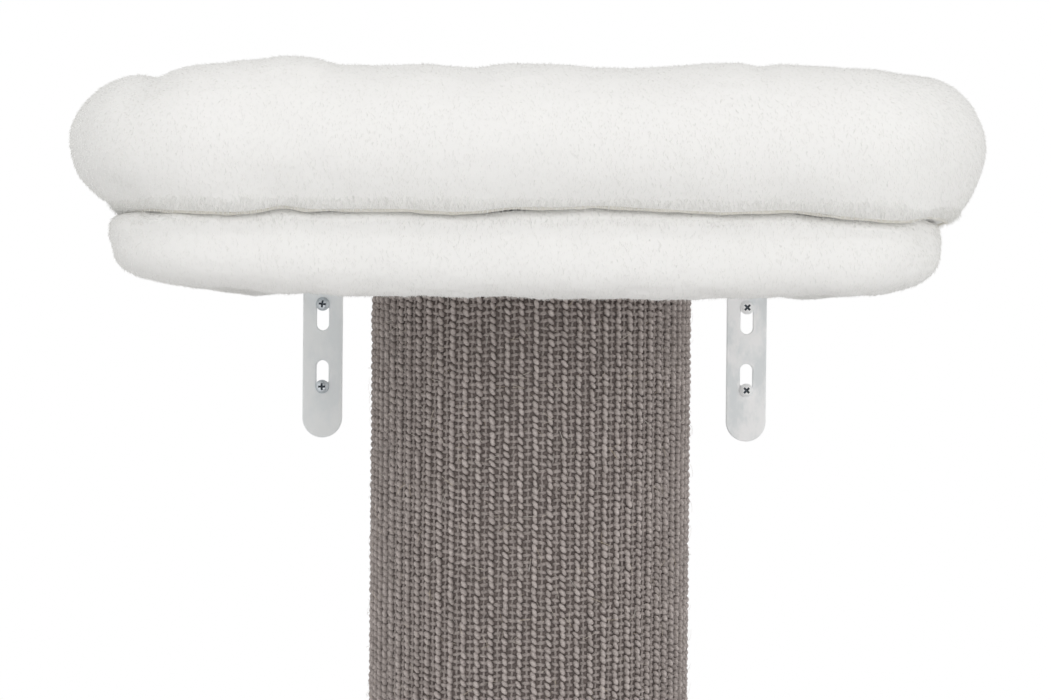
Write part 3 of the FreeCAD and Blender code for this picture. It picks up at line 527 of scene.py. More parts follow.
def painted_glare_material():
    """Painted glare: near-white heads for the right pair of wall screws, standing for the blown-out
    reflection on them, a little uneven.
    """
    tree, shader = new_material("white_lacquer", (0.9, 0.9, 0.89), 0.35, Specular_IOR_Level=0.5)
    clouds = grain(tree, object_place(tree), 500.0, 3.0, 0.6)
    paint(tree, shader, span(tree, clouds, 0.3, 0.7), (0.97, 0.98, 0.98), (1.0, 1.0, 1.0))
    raise_surface(tree, shader, clouds, 0.00008, 0.5)


def recess_shade_material():
    """Painted shade on the sides of a screw's cross recess: dark blue-grey, a little uneven."""
    tree, shader = new_material("screw_recess", (0.1, 0.125, 0.15), 0.5, Metallic=0.4)
    marks = grain(tree, object_place(tree), 900.0, 2.0)
    paint(tree, shader, marks, (0.06, 0.075, 0.09), (0.17, 0.2, 0.23))


def wood_material(name, light, dark, scale):
    """Wood with rings stretched along the board."""
    tree, shader = new_material(name, light, 0.6, Specular_IOR_Level=0.3)
    place = object_place(tree)
    rings = grain(tree, stretched(tree, place, (0.12, 1.0, 1.0)), scale, 4.0, 0.6)
    pores = grain(tree, stretched(tree, place, (0.05, 1.0, 1.0)), scale * 9, 2.0, 0.5)
    tone = mixture(tree, (rings, 0.7), (pores, 0.3))
    paint(tree, shader, span(tree, tone, 0.35, 0.65), dark, light)
    raise_surface(tree, shader, pores, 0.0003, 0.4)


def speckled_material(name, light, dark, scale, roughness, depth):
    """A fine grained surface such as board, foam, paper or paint."""
    tree, shader = new_material(name, light, roughness, Specular_IOR_Level=0.3)
    place = object_place(tree)
    grains = grain(tree, place, scale, 4.0, 0.6)
    clouds = grain(tree, place, scale / 12, 2.0, 0.5)
    tone = mixture(tree, (grains, 0.6), (clouds, 0.4))
    paint(tree, shader, span(tree, tone, 0.35, 0.65), dark, light)
    raise_surface(tree, shader, grains, depth, 0.6)


def woven_material(name, light, dark, pitch):
    """Plain weave on the piece's own map: over and under at one pitch."""
    tree, shader = new_material(name, light, 0.85, Specular_IOR_Level=0.2, Sheen_Weight=0.1)
    parts = add(tree, "ShaderNodeSeparateXYZ", {"Vector": lengths(tree)}).outputs
    turn = math.pi / pitch
    across = math_node(tree, "SINE", times(tree, parts["X"], turn))
    along = math_node(tree, "SINE", times(tree, parts["Y"], turn))
    height = span(tree, times(tree, across, along), -1.0, 1.0)
    fibres = grain(tree, object_place(tree), 1200.0, 2.0)
    mixed = mixture(tree, (height, 0.6), (fibres, 0.4))
    paint(tree, shader, mixed, dark, light)
    raise_surface(tree, shader, mixed, pitch * 0.4, 0.7)


# ---------------------------------------------------------------- geometry node trees


def new_tree(name, inputs):
    """A geometry tree and its named inputs, each a default number or the kind of thing it takes."""
    tree = bpy.data.node_groups.new(name, "GeometryNodeTree")
    tree.interface.new_socket("Geometry", in_out="INPUT", socket_type="NodeSocketGeometry")
    for label, default in inputs.items():
        kind = {float: "Float", int: "Int"}.get(type(default), default)
        socket = tree.interface.new_socket(label, in_out="INPUT", socket_type=f"NodeSocket{kind}")
        if kind != default:
            socket.default_value = default
    tree.interface.new_socket("Geometry", in_out="OUTPUT", socket_type="NodeSocketGeometry")
    return tree, add(tree, "NodeGroupInput").outputs


def close_tree(tree, geometry, surface, rounded=True):
    """Ends a tree: instances made real, smooth or flat faces and one material."""
    real = add(tree, "GeometryNodeRealizeInstances", {"Geometry": geometry}).outputs[0]
    inputs = {"Geometry": real, "Shade Smooth": rounded}
    smooth = add(tree, "GeometryNodeSetShadeSmooth", inputs).outputs[0]
    coated = add(tree, "GeometryNodeSetMaterial", {"Geometry": smooth, "Material": surface}).outputs[0]
    add(tree, "NodeGroupOutput", {"Geometry": coated})


def grown(name, tree, values, base=None):
    """The plain mesh that a tree makes, from its named inputs and an optional base mesh."""
    mesh = base.data.copy() if base else bpy.data.meshes.new(name)
    made = bpy.data.objects.new(name, mesh)
    bpy.context.scene.collection.objects.link(made)
    added = made.modifiers.new("grow", "NODES")
    added.node_group = tree
    items = tree.interface.items_tree
    sockets = {item.name: item.identifier for item in items if item.in_out == "INPUT"}
    for label, given in values.items():
        added[sockets[label]] = given
    return settle(made)


def chance(tree, low, high, seed, key=None):
    """A random number for each item, between two limits."""
    inputs = {2: low, 3: high, "Seed": seed}
    if key is not None:
        inputs["ID"] = key
    return add(tree, "FunctionNodeRandomValue", inputs, data_type="FLOAT").outputs[1]


def triple(tree, x, y, z):
    """A vector from three values."""
    return add(tree, "ShaderNodeCombineXYZ", {0: x, 1: y, 2: z}).outputs[0]


def turned(tree, x, y, z):
    """A turn about each of the three axes."""
    return add(tree, "FunctionNodeEulerToRotation", {0: triple(tree, x, y, z)}).outputs[0]


def turned_further(tree, first, second):
    """A turn followed by another in its own frame."""
    inputs = {0: first, 1: second}
    return add(tree, "FunctionNodeRotateRotation", inputs, rotation_space="LOCAL").outputs[0]


def joined(tree, *parts):
    """Several shapes as one."""
    made = add(tree, "GeometryNodeJoinGeometry")
    for part in parts:
        tree.links.new(part, made.inputs[0])
    return made.outputs[0]


def wire(tree, curve, radius):
    """A thin three-sided tube along a curve, closed at its ends."""
    ring = add(tree, "GeometryNodeCurvePrimitiveCircle", {"Resolution": 3, "Radius": radius}).outputs[0]
    inputs = {"Curve": curve, "Profile Curve": ring, "Fill Caps": True}
    return add(tree, "GeometryNodeCurveToMesh", inputs).outputs[0]


def scattered(tree, given):
    """Random points over the base mesh, and the turn that stands a shape up on each."""
    inputs = {"Mesh": given["Geometry"], "Density": given["Density"], "Seed": given["Seed"]}
    made = add(tree, "GeometryNodeDistributePointsOnFaces", inputs).outputs
    return made["Points"], made["Rotation"]


def set_on(tree, points, shape, spin, scale=(1.0, 1.0, 1.0)):
    """A shape set on each point, turned and scaled."""
    inputs = {"Points": points, "Instance": shape, "Rotation": spin, "Scale": scale}
    return add(tree, "GeometryNodeInstanceOnPoints", inputs).outputs[0]


def toned(tree, geometry, seed, key=None):
    """Gives each instance a tone of its own from 0 to 1."""
    inputs = {"Geometry": geometry, "Name": "tone", "Value": chance(tree, 0.0, 1.0, seed, key)}
    kept = add(tree, "GeometryNodeStoreNamedAttribute", inputs, data_type="FLOAT", domain="INSTANCE")
    return kept.outputs[0]


def lump(tree, segments, rings):
    """A closed round lump of few faces, one unit in radius."""
    inputs = {"Segments": segments, "Rings": rings, "Radius": 1.0}
    return add(tree, "GeometryNodeMeshUVSphere", inputs).outputs["Mesh"]


def yarn_lumps(tree, given, shape, turn_share, rise_share, depth, sizes, lean, seed):
    """Lumps of yarn in columns round the trunk and in rows up it, each a little out of line."""
    index = add(tree, "GeometryNodeInputIndex").outputs[0]
    columns = given["Columns"]
    count = times(tree, columns, given["Rows"])
    column = math_node(tree, "MODULO", index, columns)
    row = math_node(tree, "FLOOR", math_node(tree, "DIVIDE", index, columns))
    step = math_node(tree, "DIVIDE", 2 * math.pi, columns)
    angle = times(tree, plus(tree, column, turn_share), step)
    angle = plus(tree, angle, math.pi / 2, chance(tree, -0.004, 0.004, seed, index))
    phase = times(tree, chance(tree, -0.22, 0.22, 5, column), given["Pitch"])
    rise = times(tree, plus(tree, row, rise_share), given["Pitch"])
    level = plus(tree, given["Low"], rise, phase, chance(tree, -0.00035, 0.00035, seed + 1, index))
    sunk = chance(tree, depth - 0.0003, depth + 0.0003, seed + 2, index)
    radius = plus(tree, given["Radius"], sunk)
    x = times(tree, radius, math_node(tree, "COSINE", angle))
    y = times(tree, radius, math_node(tree, "SINE", angle))
    spot = triple(tree, x, plus(tree, y, POST_AXIS.y), level)
    inputs = {"Count": count, "Position": spot, "Radius": 0.001}
    points = add(tree, "GeometryNodePoints", inputs).outputs[0]
    tilt = chance(tree, math.radians(lean - 16), math.radians(lean + 16), seed + 3, index)
    thick, wide, tall = sizes
    wide = chance(tree, wide * 0.84, wide * 1.16, seed + 4, index)
    tall = chance(tree, tall * 0.88, tall * 1.12, seed + 6, index)
    spin, scale = turned(tree, tilt, 0.0, angle), triple(tree, thick, wide, tall)
    return toned(tree, set_on(tree, points, shape, spin, scale), seed + 5, index)


def weave_tree():
    """Ribbed sisal: a column of loops for each rib, and in the valleys thin cords with rungs across."""
    inputs = {
        "Radius": 0.1,
        "Columns": 74,
        "Rows": 34,
        "Pitch": 0.0041,
        "Low": 0.0,
        "Surface": "Material",
    }
    tree, given = new_tree("sisal_weave", inputs)
    parts = []
    for segments, rings, turn_share, rise_share, depth, sizes, lean, seed in (
        (6, 4, 0.5, 0.5, -0.0022, (0.0022, 0.0016, 0.0027), 30, 10),
        (4, 3, 0.0, 0.0, -0.0027, (0.0012, 0.0008, 0.0024), 0, 30),
        (4, 3, 0.0, 0.5, -0.0026, (0.0014, 0.0036, 0.0012), 0, 50),
    ):
        shape = lump(tree, segments, rings)
        parts.append(yarn_lumps(tree, given, shape, turn_share, rise_share, depth, sizes, lean, seed))
    close_tree(tree, joined(tree, *parts), given["Surface"])
    return tree


def hair_tree():
    """Short bent fibres scattered over a surface."""
    inputs = {
        "Density": 1000.0,
        "Length": 0.01,
        "Thickness": 0.0002,
        "Stand": 0.3,
        "Seed": 1,
        "Surface": "Material",
    }
    tree, given = new_tree("loose_fibres", inputs)
    points, standing = scattered(tree, given)
    bend = {
        "Resolution": 3,
        "Start": (0, 0, 0),
        "Start Handle": (0.1, 0, 0.4),
        "End Handle": (0.5, 0.1, 0.7),
        "End": (1.0, 0.2, 0.6),
    }
    arc = add(tree, "GeometryNodeCurvePrimitiveBezierSegment", bend).outputs[0]
    scale = triple(tree, given["Length"], given["Length"], given["Length"])
    sized = add(tree, "GeometryNodeTransform", {"Geometry": arc, "Scale": scale}).outputs[0]
    fibre = wire(tree, sized, given["Thickness"])
    spin = turned(tree, 0.0, 0.0, chance(tree, 0.0, 2 * math.pi, 3))
    size = chance(tree, 0.5, 1.25, 4)
    scale = triple(tree, size, size, times(tree, size, given["Stand"]))
    made = set_on(tree, points, fibre, turned_further(tree, standing, spin), scale)
    close_tree(tree, made, given["Surface"])
    return tree


def pile_tree():
    """Plush pile: small pointed tufts scattered over a surface, combed down it."""
    inputs = {
        "Density": 200000.0,
        "Length": 0.003,
        "Thickness": 0.00015,
        "Least lean": math.radians(35),
        "Most lean": math.radians(78),
        "Seed": 1,
        "Surface": "Material",
    }
    tree, given = new_tree("plush_pile", inputs)
    points, standing = scattered(tree, given)
    thick, long = given["Thickness"], given["Length"]
    inputs = {"Vertices": 3, "Radius Top": 0.0, "Radius Bottom": thick, "Depth": long}
    tuft = add(tree, "GeometryNodeMeshCone", inputs).outputs["Mesh"]
    inputs = {"Rotation": standing, "Vector": (0.0, 0.0, -1.0)}
    combed = add(tree, "FunctionNodeAlignRotationToVector", inputs, axis="Y", pivot_axis="Z").outputs[0]
    share = chance(tree, 0.0, 1.0, 61)
    lean = span(tree, share, 0.0, 1.0, given["Least lean"], given["Most lean"])
    spin = chance(tree, math.radians(-32), math.radians(32), 62)
    facing = turned_further(tree, combed, turned(tree, times(tree, lean, -1.0), 0.0, spin))
    scale = triple(tree, 1.0, 1.0, chance(tree, 0.6, 1.15, 63))
    made = toned(tree, set_on(tree, points, tuft, facing, scale), 64)
    close_tree(tree, made, given["Surface"], rounded=False)
    return tree


def grow_pile(name, base, body, density, length, seed, wanted, leans=(45, 82)):
    """Tufts over the faces of a plush piece whose middles and normals are wanted."""
    bare = bpy.data.objects.new(name + "_base", base.data.copy())
    shape = bmesh.new()
    shape.from_mesh(bare.data)
    spare = [face for face in shape.faces if not wanted(face.calc_center_median(), face.normal)]
    bmesh.ops.delete(shape, geom=spare, context="FACES")
    shape.to_mesh(bare.data)
    shape.free()
    values = {
        "Density": density,
        "Length": length,
        "Seed": seed,
        "Surface": surface("plush_tips"),
        "Least lean": math.radians(leans[0]),
        "Most lean": math.radians(leans[1]),
    }
    tree = bpy.data.node_groups.get("plush_pile") or pile_tree()
    made = grown(name, tree, values, bare)
    bpy.data.objects.remove(bare)
    finish(made, body, surface("plush_tips"), "plush")


# ---------------------------------------------------------------- settings


class PlushSettings(bpy.types.PropertyGroup):
    """Sizes and colour of the plush pieces."""

    colour: bpy.props.FloatVectorProperty(
        name="Plush", description="Colour of the pile",
        subtype="COLOR", default=(0.81, 0.81, 0.797), min=0, max=1,
    )
    lump: bpy.props.FloatProperty(
        name="Lumps", description="How uneven the stuffing is",
        default=0.0022, unit="LENGTH", min=0, max=0.01,
    )
    pucker: bpy.props.FloatProperty(
        name="Puckers", description="Depth of the gathers beside a seam",
        default=0.0013, unit="LENGTH", min=0, max=0.01,
    )
    nap: bpy.props.FloatProperty(
        name="Nap", description="Unevenness of the pile itself",
        default=0.00035, unit="LENGTH", min=0, max=0.002,
    )
    pile: bpy.props.FloatProperty(
        name="Pile", description="Length of a tuft of the pile",
        default=0.0022, unit="LENGTH", min=0.0005, max=0.02,
    )
    tufts: bpy.props.FloatProperty(
        name="Tufts", description="Tufts on a square metre of plush",
        default=230000.0, min=1000, max=500000,
    )


class SisalSettings(bpy.types.PropertyGroup):
    """Sizes and colours of the trunk's matting."""

    radius: bpy.props.FloatProperty(
        name="Radius", description="From the trunk's axis to the crests",
        default=0.1, unit="LENGTH", min=0.02, max=1,
    )
    ribs: bpy.props.IntProperty(
        name="Ribs", description="Ribs round the trunk",
        default=74, min=8, max=200,
    )
    pitch: bpy.props.FloatProperty(
        name="Loop pitch", description="From loop to loop up a rib",
        default=0.0041, unit="LENGTH", min=0.002, max=0.02,
    )
    # the paler crests come partly from the painted highlight in sisal_material
    light: bpy.props.FloatVectorProperty(
        name="Light yarn", description="Colour of the yarn's crests",
        subtype="COLOR", default=(0.76, 0.682, 0.648), min=0, max=1,
    )
    dark: bpy.props.FloatVectorProperty(
        name="Dark yarn", description="Colour of the darkest yarn",
        subtype="COLOR", default=(0.325, 0.28, 0.262), min=0, max=1,
    )
    # darker than the yarns: partly the ground's own colour, partly painted shade between the yarns
    ground: bpy.props.FloatVectorProperty(
        name="Ground", description="Colour between the yarns",
        subtype="COLOR", default=(0.225, 0.19, 0.176), min=0, max=1,
    )


class MetalSettings(bpy.types.PropertyGroup):
    """Colours of the steel pieces."""

    coat: bpy.props.FloatVectorProperty(
        name="Bracket coat", description="Colour of the powder coat",
        subtype="COLOR", default=(0.945, 0.98, 0.99), min=0, max=1,
    )
    zinc: bpy.props.FloatVectorProperty(
        name="Zinc", description="Colour of the plated screws",
        subtype="COLOR", default=(0.7, 0.74, 0.77), min=0, max=1,
    )


class StageSettings(bpy.types.PropertyGroup):
    """Camera and lamps."""

    eye: bpy.props.FloatVectorProperty(
        name="Camera", description="Where the camera stands",
        subtype="TRANSLATION", default=(0.0127, -1.27, 0.0126),
    )
    focal: bpy.props.FloatProperty(
        name="Lens", description="Focal length in millimetres",
        default=58.4, min=10, max=300,
    )
    pitch: bpy.props.FloatProperty(
        name="Pitch", description="How far the camera looks down",
        subtype="ANGLE", default=math.radians(0.67),
    )
    yaw: bpy.props.FloatProperty(
        name="Yaw", description="How far it looks to the left",
        subtype="ANGLE", default=math.radians(0.865),
    )
    roll: bpy.props.FloatProperty(
        name="Roll", description="How far it leans to the left",
        subtype="ANGLE", default=math.radians(0.5),
    )
    key: bpy.props.FloatProperty(
        name="Key lamp", description="Power of the large upper lamp",
        default=10.0, min=0,
    )
    front: bpy.props.FloatProperty(
        name="Front lamp", description="Power of the low front lamp",
        default=18.0, min=0,
    )
    fill: bpy.props.FloatProperty(
        name="Fill lamp", description="Power of the side lamp",
        default=5.0, min=0,
    )
    sky: bpy.props.FloatProperty(
        name="Sky", description="Strength of the even light",
        default=0.62, min=0,
    )


# ---------------------------------------------------------------- the bed


def arc_points(centre, radius, start, end, count):
    """Points of a section's arc, both ends included."""
    found = []
    for index in range(count + 1):
        angle = math.radians(start + (end - start) * index / count)
        found.append((centre[0] + radius * math.cos(angle), centre[1] + radius * math.sin(angle)))
    return found


def nap(piece, amount, seed, keep=None):
    """Gives a plush piece the small unevenness of its pile."""
    points, out = coords_of(piece), normals_of(piece)
    fine = rough(points, 0.0065, seed, 2) * amount + rough(points, 0.021, seed + 1, 1) * amount * 1.4
    fine -= PILE_DEPTH
    if keep is not None:
        fine = fine * keep(points)
    move_points(piece, points + out * fine[:, None])


# Listed knots of the soft forms: a place in metres, then how far the form moves there in millimetres.

CREST = [  # x along the front, height above the plain roll's top
    (-0.232, -0.8), (-0.224, -1.6), (-0.213, -2.8), (-0.203, -5.6), (-0.195, -6.2),
    (-0.186, -3.7), (-0.178, -2.2), (-0.161, -1.6), (-0.150, 0.1), (-0.140, 0.8),
    (-0.132, 2.4), (-0.122, 2.5), (-0.110, 1.6), (-0.103, -0.6), (-0.095, -1.8),
    (-0.083, -2.3), (-0.068, -1.8), (-0.055, -1.2), (-0.043, -2.0), (-0.027, -2.9),
    (-0.014, -0.6), (0.008, -0.8), (0.030, -1.4), (0.045, -2.5), (0.066, -2.2), (0.078, -1.0),
    (0.100, 0.0), (0.110, 0.5), (0.118, -1.4), (0.125, 0.0), (0.140, -1.0), (0.155, -1.8),
    (0.165, -2.6), (0.177, -1.7), (0.197, -3.2), (0.208, -2.0), (0.214, -1.4), (0.224, -0.4),
    (0.234, -1.0),
]
LEFT_FLANK = [  # height, how far the left side of the roll stands in
    (0.074, 7.5), (0.078, 7.5), (0.082, 5.3), (0.087, 3.2), (0.091, 1.2), (0.098, 0.3),
    (0.108, -0.3), (0.122, -1.4), (0.130, -0.2), (0.138, 0.8), (0.144, 1.2), (0.149, 1.9),
    (0.154, 2.1),
]
RIGHT_FLANK = [  # height, how far the right side of the roll stands in
    (0.074, 1.5), (0.082, 2.5), (0.086, 3.5), (0.091, 4.3), (0.099, 4.5), (0.108, 3.7),
    (0.115, 3.0), (0.121, 2.9), (0.130, 3.2), (0.136, 2.6), (0.143, 1.4), (0.154, 1.0),
]
SEAM = [  # x along the front, how far the line between the two rolls wanders up
    (-0.213, 2.2), (-0.200, 0.4), (-0.188, -1.0), (-0.163, -2.0), (-0.151, -2.4),
    (-0.138, -0.9), (-0.126, 1.8), (-0.114, -0.5), (-0.064, 0.0), (-0.040, -1.4),
    (-0.027, -1.0), (-0.008, 1.5), (0.017, 1.4), (0.035, 2.5), (0.072, 0.8), (0.100, -0.6),
    (0.134, 1.0), (0.146, -0.2), (0.165, -2.4), (0.183, -3.4), (0.208, -3.6),
]
HEM = [  # x along the front, how far the platform's lowest line rises
    (-0.220, 10.0), (-0.205, 9.0), (-0.190, 6.6), (-0.170, 4.6), (-0.150, 3.9), (-0.125, 1.4),
    (0.120, 0.8), (0.150, 1.8), (0.170, 2.6), (0.190, 4.0), (0.205, 6.8), (0.220, 8.4),
]
TUCKS = [  # x along the front, depth and width in metres
    (-0.200, 0.0016, 0.0045), (-0.104, 0.0012, 0.005), (0.119, 0.0012, 0.0045), (0.030, 0.0009, 0.006),
]


def knots(places, table):
    """Offsets in metres at some places, between listed knots."""
    at, offsets = zip(*table)
    return np.interp(places, at, offsets) / 1000


def ease(share):
    """A share held between 0 and 1 with soft ends."""
    share = np.clip(share, 0, 1)
    return share * share * (3 - 2 * share)


def settle_bolster(points, low, waist):
    """Shifts that give the roll its uneven crest and flanks, and its line on the platform."""
    x, y, z = points.T.copy()
    front = ease((-y - 0.28) / 0.06)
    points[:, 2] += ease((z - waist) / 0.036) * (knots(x, CREST) * front - 0.0012 * (1 - front))
    near_foot = (1 - ease((z - low.z) / 0.02)) * ease((-y - 0.366) / 0.016)
    points[:, 2] += knots(x, SEAM) * near_foot
    inward = np.where(x < 0, knots(z, LEFT_FLANK), -knots(z, RIGHT_FLANK))
    along = 0.35 + 0.65 * ease((-y - 0.1) / 0.15)
    points[:, 0] += inward * ease((np.abs(x) - 0.19) / 0.03) * along
    return points


def settle_rim(points, low, high, widest):
    """Shifts that raise the platform's hem at its sides, and lay its top edge along the roll above."""
    x, y, z = points.T.copy()
    at_front, at_sides = ease((-y - 0.2) / 0.05), ease((y + 0.33) / 0.06)
    rise = np.maximum(knots(x, HEM) * at_front, 0.0078 * at_sides)
    rise -= 0.0012 * ease((0.125 - np.abs(x)) / 0.025) * ease((-y - 0.33) / 0.03)
    under = (np.abs(x) < 0.201) & (y > -0.357)
    ceiling = np.where(under, 0.0435, widest)
    points[:, 2] += rise * np.clip((ceiling - z) / (ceiling - low.z), 0, 1)
    near_top = ease((z - 0.058) / (high.z - 0.058)) * ease((-y - 0.366) / 0.014)
    points[:, 2] += knots(x, SEAM) * near_top
    points[:, 1] -= 0.0045 * ease((z - 0.06) / 0.011) * ease((-y - 0.366) / 0.014)
    left, right = ease((-x - 0.15) / 0.07), ease((x - 0.15) / 0.07)
    points[:, 0] -= 0.0033 * right + left * (0.0012 + 0.0022 * ease((z - widest) / 0.012))
    return points


def roll_stations(low, high):
    """Stations along the middle line of the bolster's roll."""
    half, front, back = high.x - ROLL_HALF, -low.y - ROLL_HALF, -high.y + ROLL_HALF
    return plan_line(half, front, back, ROLL_CORNER, ROLL_STEP, True)


def roll_section(low, waist):
    """Section of the roll: a half circle above its waist, drawn in below to a flat foot."""
    lip = ROLL_HALF - FOOT_HALF
    drop = waist - low.z
    lower = (lip**2 + drop**2) / (2 * lip)
    sweep = math.degrees(math.asin(drop / lower))
    section = arc_points((0, waist), ROLL_HALF, 0, 180, 26)
    section += arc_points((lower - ROLL_HALF, waist), lower, 180, 180 + sweep, 12)[1:]
    section += [(FOOT_HALF * (index / 4 - 1), low.z) for index in range(1, 8)]
    section += arc_points((ROLL_HALF - lower, waist), lower, -sweep, 0, 12)[:-1]
    return section


def bolster_form(settings):
    """The stuffed roll round the bed, with its lumps, tucks and the gathers over its foot seam."""
    low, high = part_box("bolster")
    waist = high.z - ROLL_HALF
    made = skin("bolster_plush", roll_stations(low, high), roll_section(low, waist), True, True)
    points, out = coords_of(made), normals_of(made)
    rise = np.clip((points[:, 2] - low.z) / (high.z - low.z), 0, 1)
    above = np.clip(rise * 5, 0, 1)
    front = ease((-points[:, 1] - 0.29) / 0.04)
    on_crest, at_ends = front * ease((rise - 0.75) / 0.2), ease((np.abs(points[:, 0]) - 0.225) / 0.02)
    calm = 1 - 0.75 * np.maximum(on_crest, at_ends)
    swell = rough(points, 0.1, 2) * settings.lump * above * calm
    swell += rough(points, 0.035, 9) * settings.lump * 0.35 * above * calm
    on_flank = front * np.clip(rise * 2.5 - 1.4, 0, 1)
    for x, depth, width in TUCKS:
        lean = x + (rise - 0.9) * 0.03
        swell -= depth * np.exp(-(((points[:, 0] - lean) / width) ** 2)) * on_flank
    near_seam = np.exp(-(((rise - 0.1) / 0.14) ** 2)) * above
    gathers = rough(points * np.array((1, 1, 0.25)), 0.017, 4) * settings.pucker
    points = settle_bolster(points + out * (swell + gathers * near_seam)[:, None], low, waist)
    move_points(made, points)
    smoother(made)
    foot = low.z + 0.002
    nap(made, settings.nap, 6, lambda places: np.clip((places[:, 2] - foot) / 0.004, 0, 1))
    return made


def foot_seam():
    """The binding sewn along the roll's foot, where its plush meets the bed's bottom; its beige is
    partly the binding's own colour, partly painted warm shade along the line between the two rolls.
    """
    low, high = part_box("bolster")
    section = arc_points((FOOT_HALF - 0.0016, low.z), 0.0011, 0, 315, 7)
    made = skin("bolster_foot_seam", roll_stations(low, high), section, True, True)
    points, out = coords_of(made), normals_of(made)
    points += out * (rough(points, 0.008, 51, 2) * 0.0006)[:, None]
    move_points(made, settle_bolster(points, low, high.z - ROLL_HALF))
    return made


def cushion_form(settings):
    """The loose floor cushion, blown up as cloth from a slightly smaller shape."""
    low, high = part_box("nest_cushion")
    half, front, back = high.x - 0.004, -low.y - 0.004, -high.y + 0.004
    outline = plan_line(half, front, back, 0.03, 0.01, True)
    made = slab("nest_cushion_plush", outline, low.z + 0.003, low.z + 0.023)
    inflate(made, 0.005, 3.0, 0.006, 18)
    points = coords_of(made)
    middle = (low.y + high.y) / 2
    points[:, 0] *= (high.x + 0.0005) / np.abs(points[:, 0]).max()
    reach = (high.y - middle + 0.0005) / np.abs(points[:, 1] - middle).max()
    points[:, 1] = middle + (points[:, 1] - middle) * reach
    share_x = np.clip(1 - np.abs(points[:, 0] / high.x), 0, 1)
    share_y = np.clip(1 - np.abs((points[:, 1] - middle) / (high.y - middle)), 0, 1)
    share = np.minimum(share_x * high.x, share_y * (high.y - middle))
    crown = 1 - np.exp(-share / 0.045)
    upper = np.clip((points[:, 2] - (low.z + 0.012)) / 0.008, 0, 1)
    points[:, 2] += upper * crown * (high.z - low.z - 0.027)
    points[:, 2] = np.maximum(points[:, 2], low.z + 0.0006)
    points[:, 2] = np.minimum(points[:, 2], high.z + 0.002)
    move_points(made, points)
    smoother(made)
    points, out = coords_of(made), normals_of(made)
    loose = rough(points, 0.06, 21) * 0.0016 + rough(points, 0.02, 22) * 0.0005
    upper = np.clip((points[:, 2] - (low.z + 0.004)) / 0.008, 0, 1)
    move_points(made, points + out * (loose * upper)[:, None])
    nap(made, settings.nap, 25, lambda places: np.clip((places[:, 2] - low.z - 0.004) / 0.004, 0, 1))
    return made


def inflate(piece, voxel, pressure, reach, frames):
    """Blows a closed piece up as cloth, no point moving further than its reach."""
    mesh = piece.modifiers.new("even", "REMESH")
    mesh.mode = "VOXEL"
    mesh.voxel_size = voxel
    mesh.use_smooth_shade = True
    settle(piece)
    start = coords_of(piece)
    cloth = piece.modifiers.new("blow", "CLOTH")
    cloth.settings.quality = 5
    cloth.settings.use_pressure = True
    cloth.settings.uniform_pressure_force = pressure
    cloth.settings.tension_stiffness = 12
    cloth.settings.compression_stiffness = 12
    cloth.settings.bending_stiffness = 0.4
    cloth.settings.effector_weights.gravity = 0
    cloth.point_cache.frame_start = 1
    cloth.point_cache.frame_end = frames
    scene = bpy.context.scene
    for step in range(1, frames + 1):
        scene.frame_set(step)
    settle(piece)
    scene.frame_set(1)
    moved = coords_of(piece) - start
    far = np.linalg.norm(moved, axis=1, keepdims=True)
    move_points(piece, start + moved * np.minimum(1, reach / np.maximum(far, 1e-9)))


class MakeBolster(bpy.types.Operator):
    """Make the stuffed plush roll round the bed"""

    bl_idname = "cat_tree.bolster"
    bl_label = "Bolster"

    def execute(self, context):
        """Builds the roll and lets it stand for its solid."""
        settings = context.scene.cat_tree_plush
        made = bolster_form(settings)
        finish(made, "bed", surface("plush"), "plush", "bolster")
        low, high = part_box("bolster")
        middle = (low.y + high.y) / 2
        tufts, pile = settings.tufts, settings.pile

        def in_front(place, out):
            """Whether a face is on the front half, off the flat foot."""
            return out.z > -0.93 and place.y < middle

        def behind(place, out):
            """Whether a face is on the back half, off the flat foot."""
            return out.z > -0.93 and place.y >= middle

        def on_foot(place, out):
            """Whether a face looks out and down just above the foot seam."""
            outer = out.y * (place.y - middle) + out.x * place.x > 0
            return outer and -0.93 < out.z < -0.5 and place.z < low.z + 0.006

        grow_pile("bolster_pile_front", made, "bed", tufts, pile, 1, in_front)
        grow_pile("bolster_pile_back", made, "bed", tufts, pile, 2, behind)
        finish(foot_seam(), "bed", surface("seam_binding"), "plush")
        grow_pile("bolster_foot_pile", made, "bed", tufts * 3.2, pile * 1.5, 6, on_foot, (0, 60))
        return {"FINISHED"}


class MakeCushion(bpy.types.Operator):
    """Make the floor cushion and the woven bottom of the bed"""

    bl_idname = "cat_tree.cushion"
    bl_label = "Floor cushion and bottom"

    def execute(self, context):
        """Builds both and lets them stand for their solids."""
        settings = context.scene.cat_tree_plush
        made = cushion_form(settings)
        if not made.data.uv_layers:
            layer_of_lengths(made)
        finish(made, "bed", surface("plush"), "plush", "nest_cushion")

        def on_top(place, out):
            """Whether a face looks up."""
            return out.z > 0.05

        grow_pile("nest_cushion_pile", made, "bed", settings.tufts * 0.7, settings.pile, 3, on_top)
        low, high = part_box("bed_base")
        corner = 0.0332
        outline = box_outline(low, high, corner)
        bottom = slab("bed_bottom_cloth", outline, low.z + 0.0001, high.z - 0.0001)
        finish(bottom, "bed", surface("woven_cloth"), "cloth", "bed_base")
        return {"FINISHED"}


# ---------------------------------------------------------------- the platform


